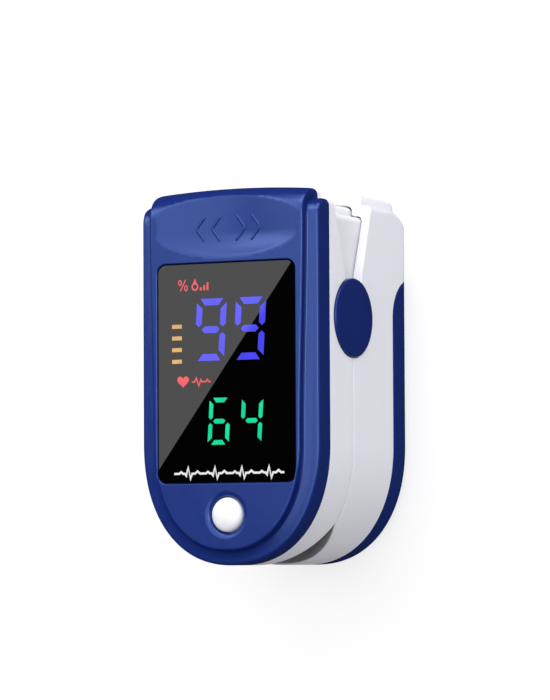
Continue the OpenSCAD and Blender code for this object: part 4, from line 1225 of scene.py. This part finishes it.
# the camera looks down from the right, tipped and rolled a little
TURN, TIP, LEAN = math.radians(28.8), math.radians(2.65), math.radians(0.275)
DISTANCE, LENS_MM = 0.5974, 195.2
toward = Vector((math.sin(TURN) * math.cos(TIP), -math.sin(TIP), math.cos(TURN) * math.cos(TIP)))
right = Vector((math.cos(TURN), 0, -math.sin(TURN)))
up = Vector((math.sin(TURN) * math.sin(TIP), math.cos(TIP), math.cos(TURN) * math.sin(TIP)))
right, up = right * math.cos(LEAN) - up * math.sin(LEAN), right * math.sin(LEAN) + up * math.cos(LEAN)
eye = Vector((0, 0, 0.01614)) + toward * DISTANCE
ahead = (-toward * 3796 + up * 29.5 - right * 1.5).normalized()  # a little off the object's middle
side = ahead.cross(up).normalized()
top = side.cross(ahead)
cam_data = bpy.data.cameras.new("camera")
cam_data.lens = LENS_MM
cam_data.sensor_width = 36
cam_data.clip_start = 0.01
cam_data.clip_end = 20
cam = bpy.data.objects.new("camera", cam_data)
bpy.context.scene.collection.objects.link(cam)
cam.matrix_world = Matrix((
    (side.x, top.x, -ahead.x, eye.x),
    (side.y, top.y, -ahead.y, eye.y),
    (side.z, top.z, -ahead.z, eye.z),
    (0, 0, 0, 1)))
bpy.context.scene.camera = cam
bpy.context.scene.view_settings.view_transform = "Standard"


def panel(name, at, aim, w, h, radiance, twist=None):
    """A soft box of a given brightness, seen only by what it lights."""
    data = bpy.data.lights.new(name, "AREA")
    data.shape = "RECTANGLE"
    data.size, data.size_y = w, h
    data.energy = radiance * math.pi * w * h
    ob = bpy.data.objects.new(name, data)
    bpy.context.scene.collection.objects.link(ob)
    z = (Vector(at) - Vector(aim)).normalized()
    x = Vector(twist).normalized() if twist else Vector((0, 0, 1)).cross(z).normalized()
    x = (x - z * x.dot(z)).normalized()
    y = z.cross(x)
    ob.matrix_world = Matrix(((x.x, y.x, z.x, at[0]), (x.y, y.y, z.y, at[1]), (x.z, y.z, z.z, at[2]), (0, 0, 0, 1)))
    ob.visible_camera = False
    return ob


DOWN = Vector((0, 0, -1))
MIRROR = Vector((eye.x, eye.y, 2 * WIN_TOP * MM - eye.z))  # the camera, mirrored in the pane


def mirrored_line(a, b, stretch, to_right):
    """Where the top mirrors the points a and b from: the middle, the line's direction, the level way out."""
    q = [w + (w - MIRROR) * stretch for w in (Vector(a), Vector(b))]
    along = (q[0] - q[1]).normalized()
    out = Vector((-along.y, along.x, 0)).normalized()
    return (q[0] + q[1]) / 2, along, out if (out.x > 0) == to_right else -out


# The key panel hangs flat over the left, where the pane mirrors its straight edge across the display
mid, along, out = mirrored_line((0.0119, 0.0175, WIN_TOP * MM), (-0.0121, -0.0145, WIN_TOP * MM), 1.23, False)
at = mid + out * 0.4
glare = panel("key_glare", at, at + DOWN, 1.0, 0.8, 1.85, along)

# A broad overhead panel: its edge is what the blue cover mirrors softly from corner to corner
mid, along, out = mirrored_line((0.0129, -0.007, 0.0324), (-0.0129, 0.020, 0.0324), 1.8, True)
at = mid + out * 0.55 - along * 0.35
others = [panel("over_soft", at, at + DOWN, 2.2, 1.1, 1.95, along),
          panel("over_left", (-0.99, 0.5, 0.945), (-0.99, 0.5, 0), 0.64, 0.8, 1.95, (1, 0, 0)),
          panel("key_right", (0.5, 0.1, 0.95), (0, 0, 0.02), 0.45, 0.45, 4.2),
          panel("fill_back", (0.15, 0.95, 0.5), (0, 0, 0.02), 1.3, 0.8, 2.7),
          panel("fill_right", (1.3, 0.1, 0.4), (0, 0, 0.02), 1.0, 0.6, 1.0)]

# The pane mirrors only its own panel, as if the others were flagged off it
glassy = bpy.data.collections.new("glassy")
solid = bpy.data.collections.new("solid")
for ob in bpy.data.objects:
    if ob.type == "MESH":
        names = ("display_pane", "spo2_digits", "pulse_digits", "signal_bars", "pulse_wave_print", "red_icons_print")
        (glassy if ob.name in names else solid).objects.link(ob)
glare.light_linking.receiver_collection = glassy
for ob in others:
    ob.light_linking.receiver_collection = solid
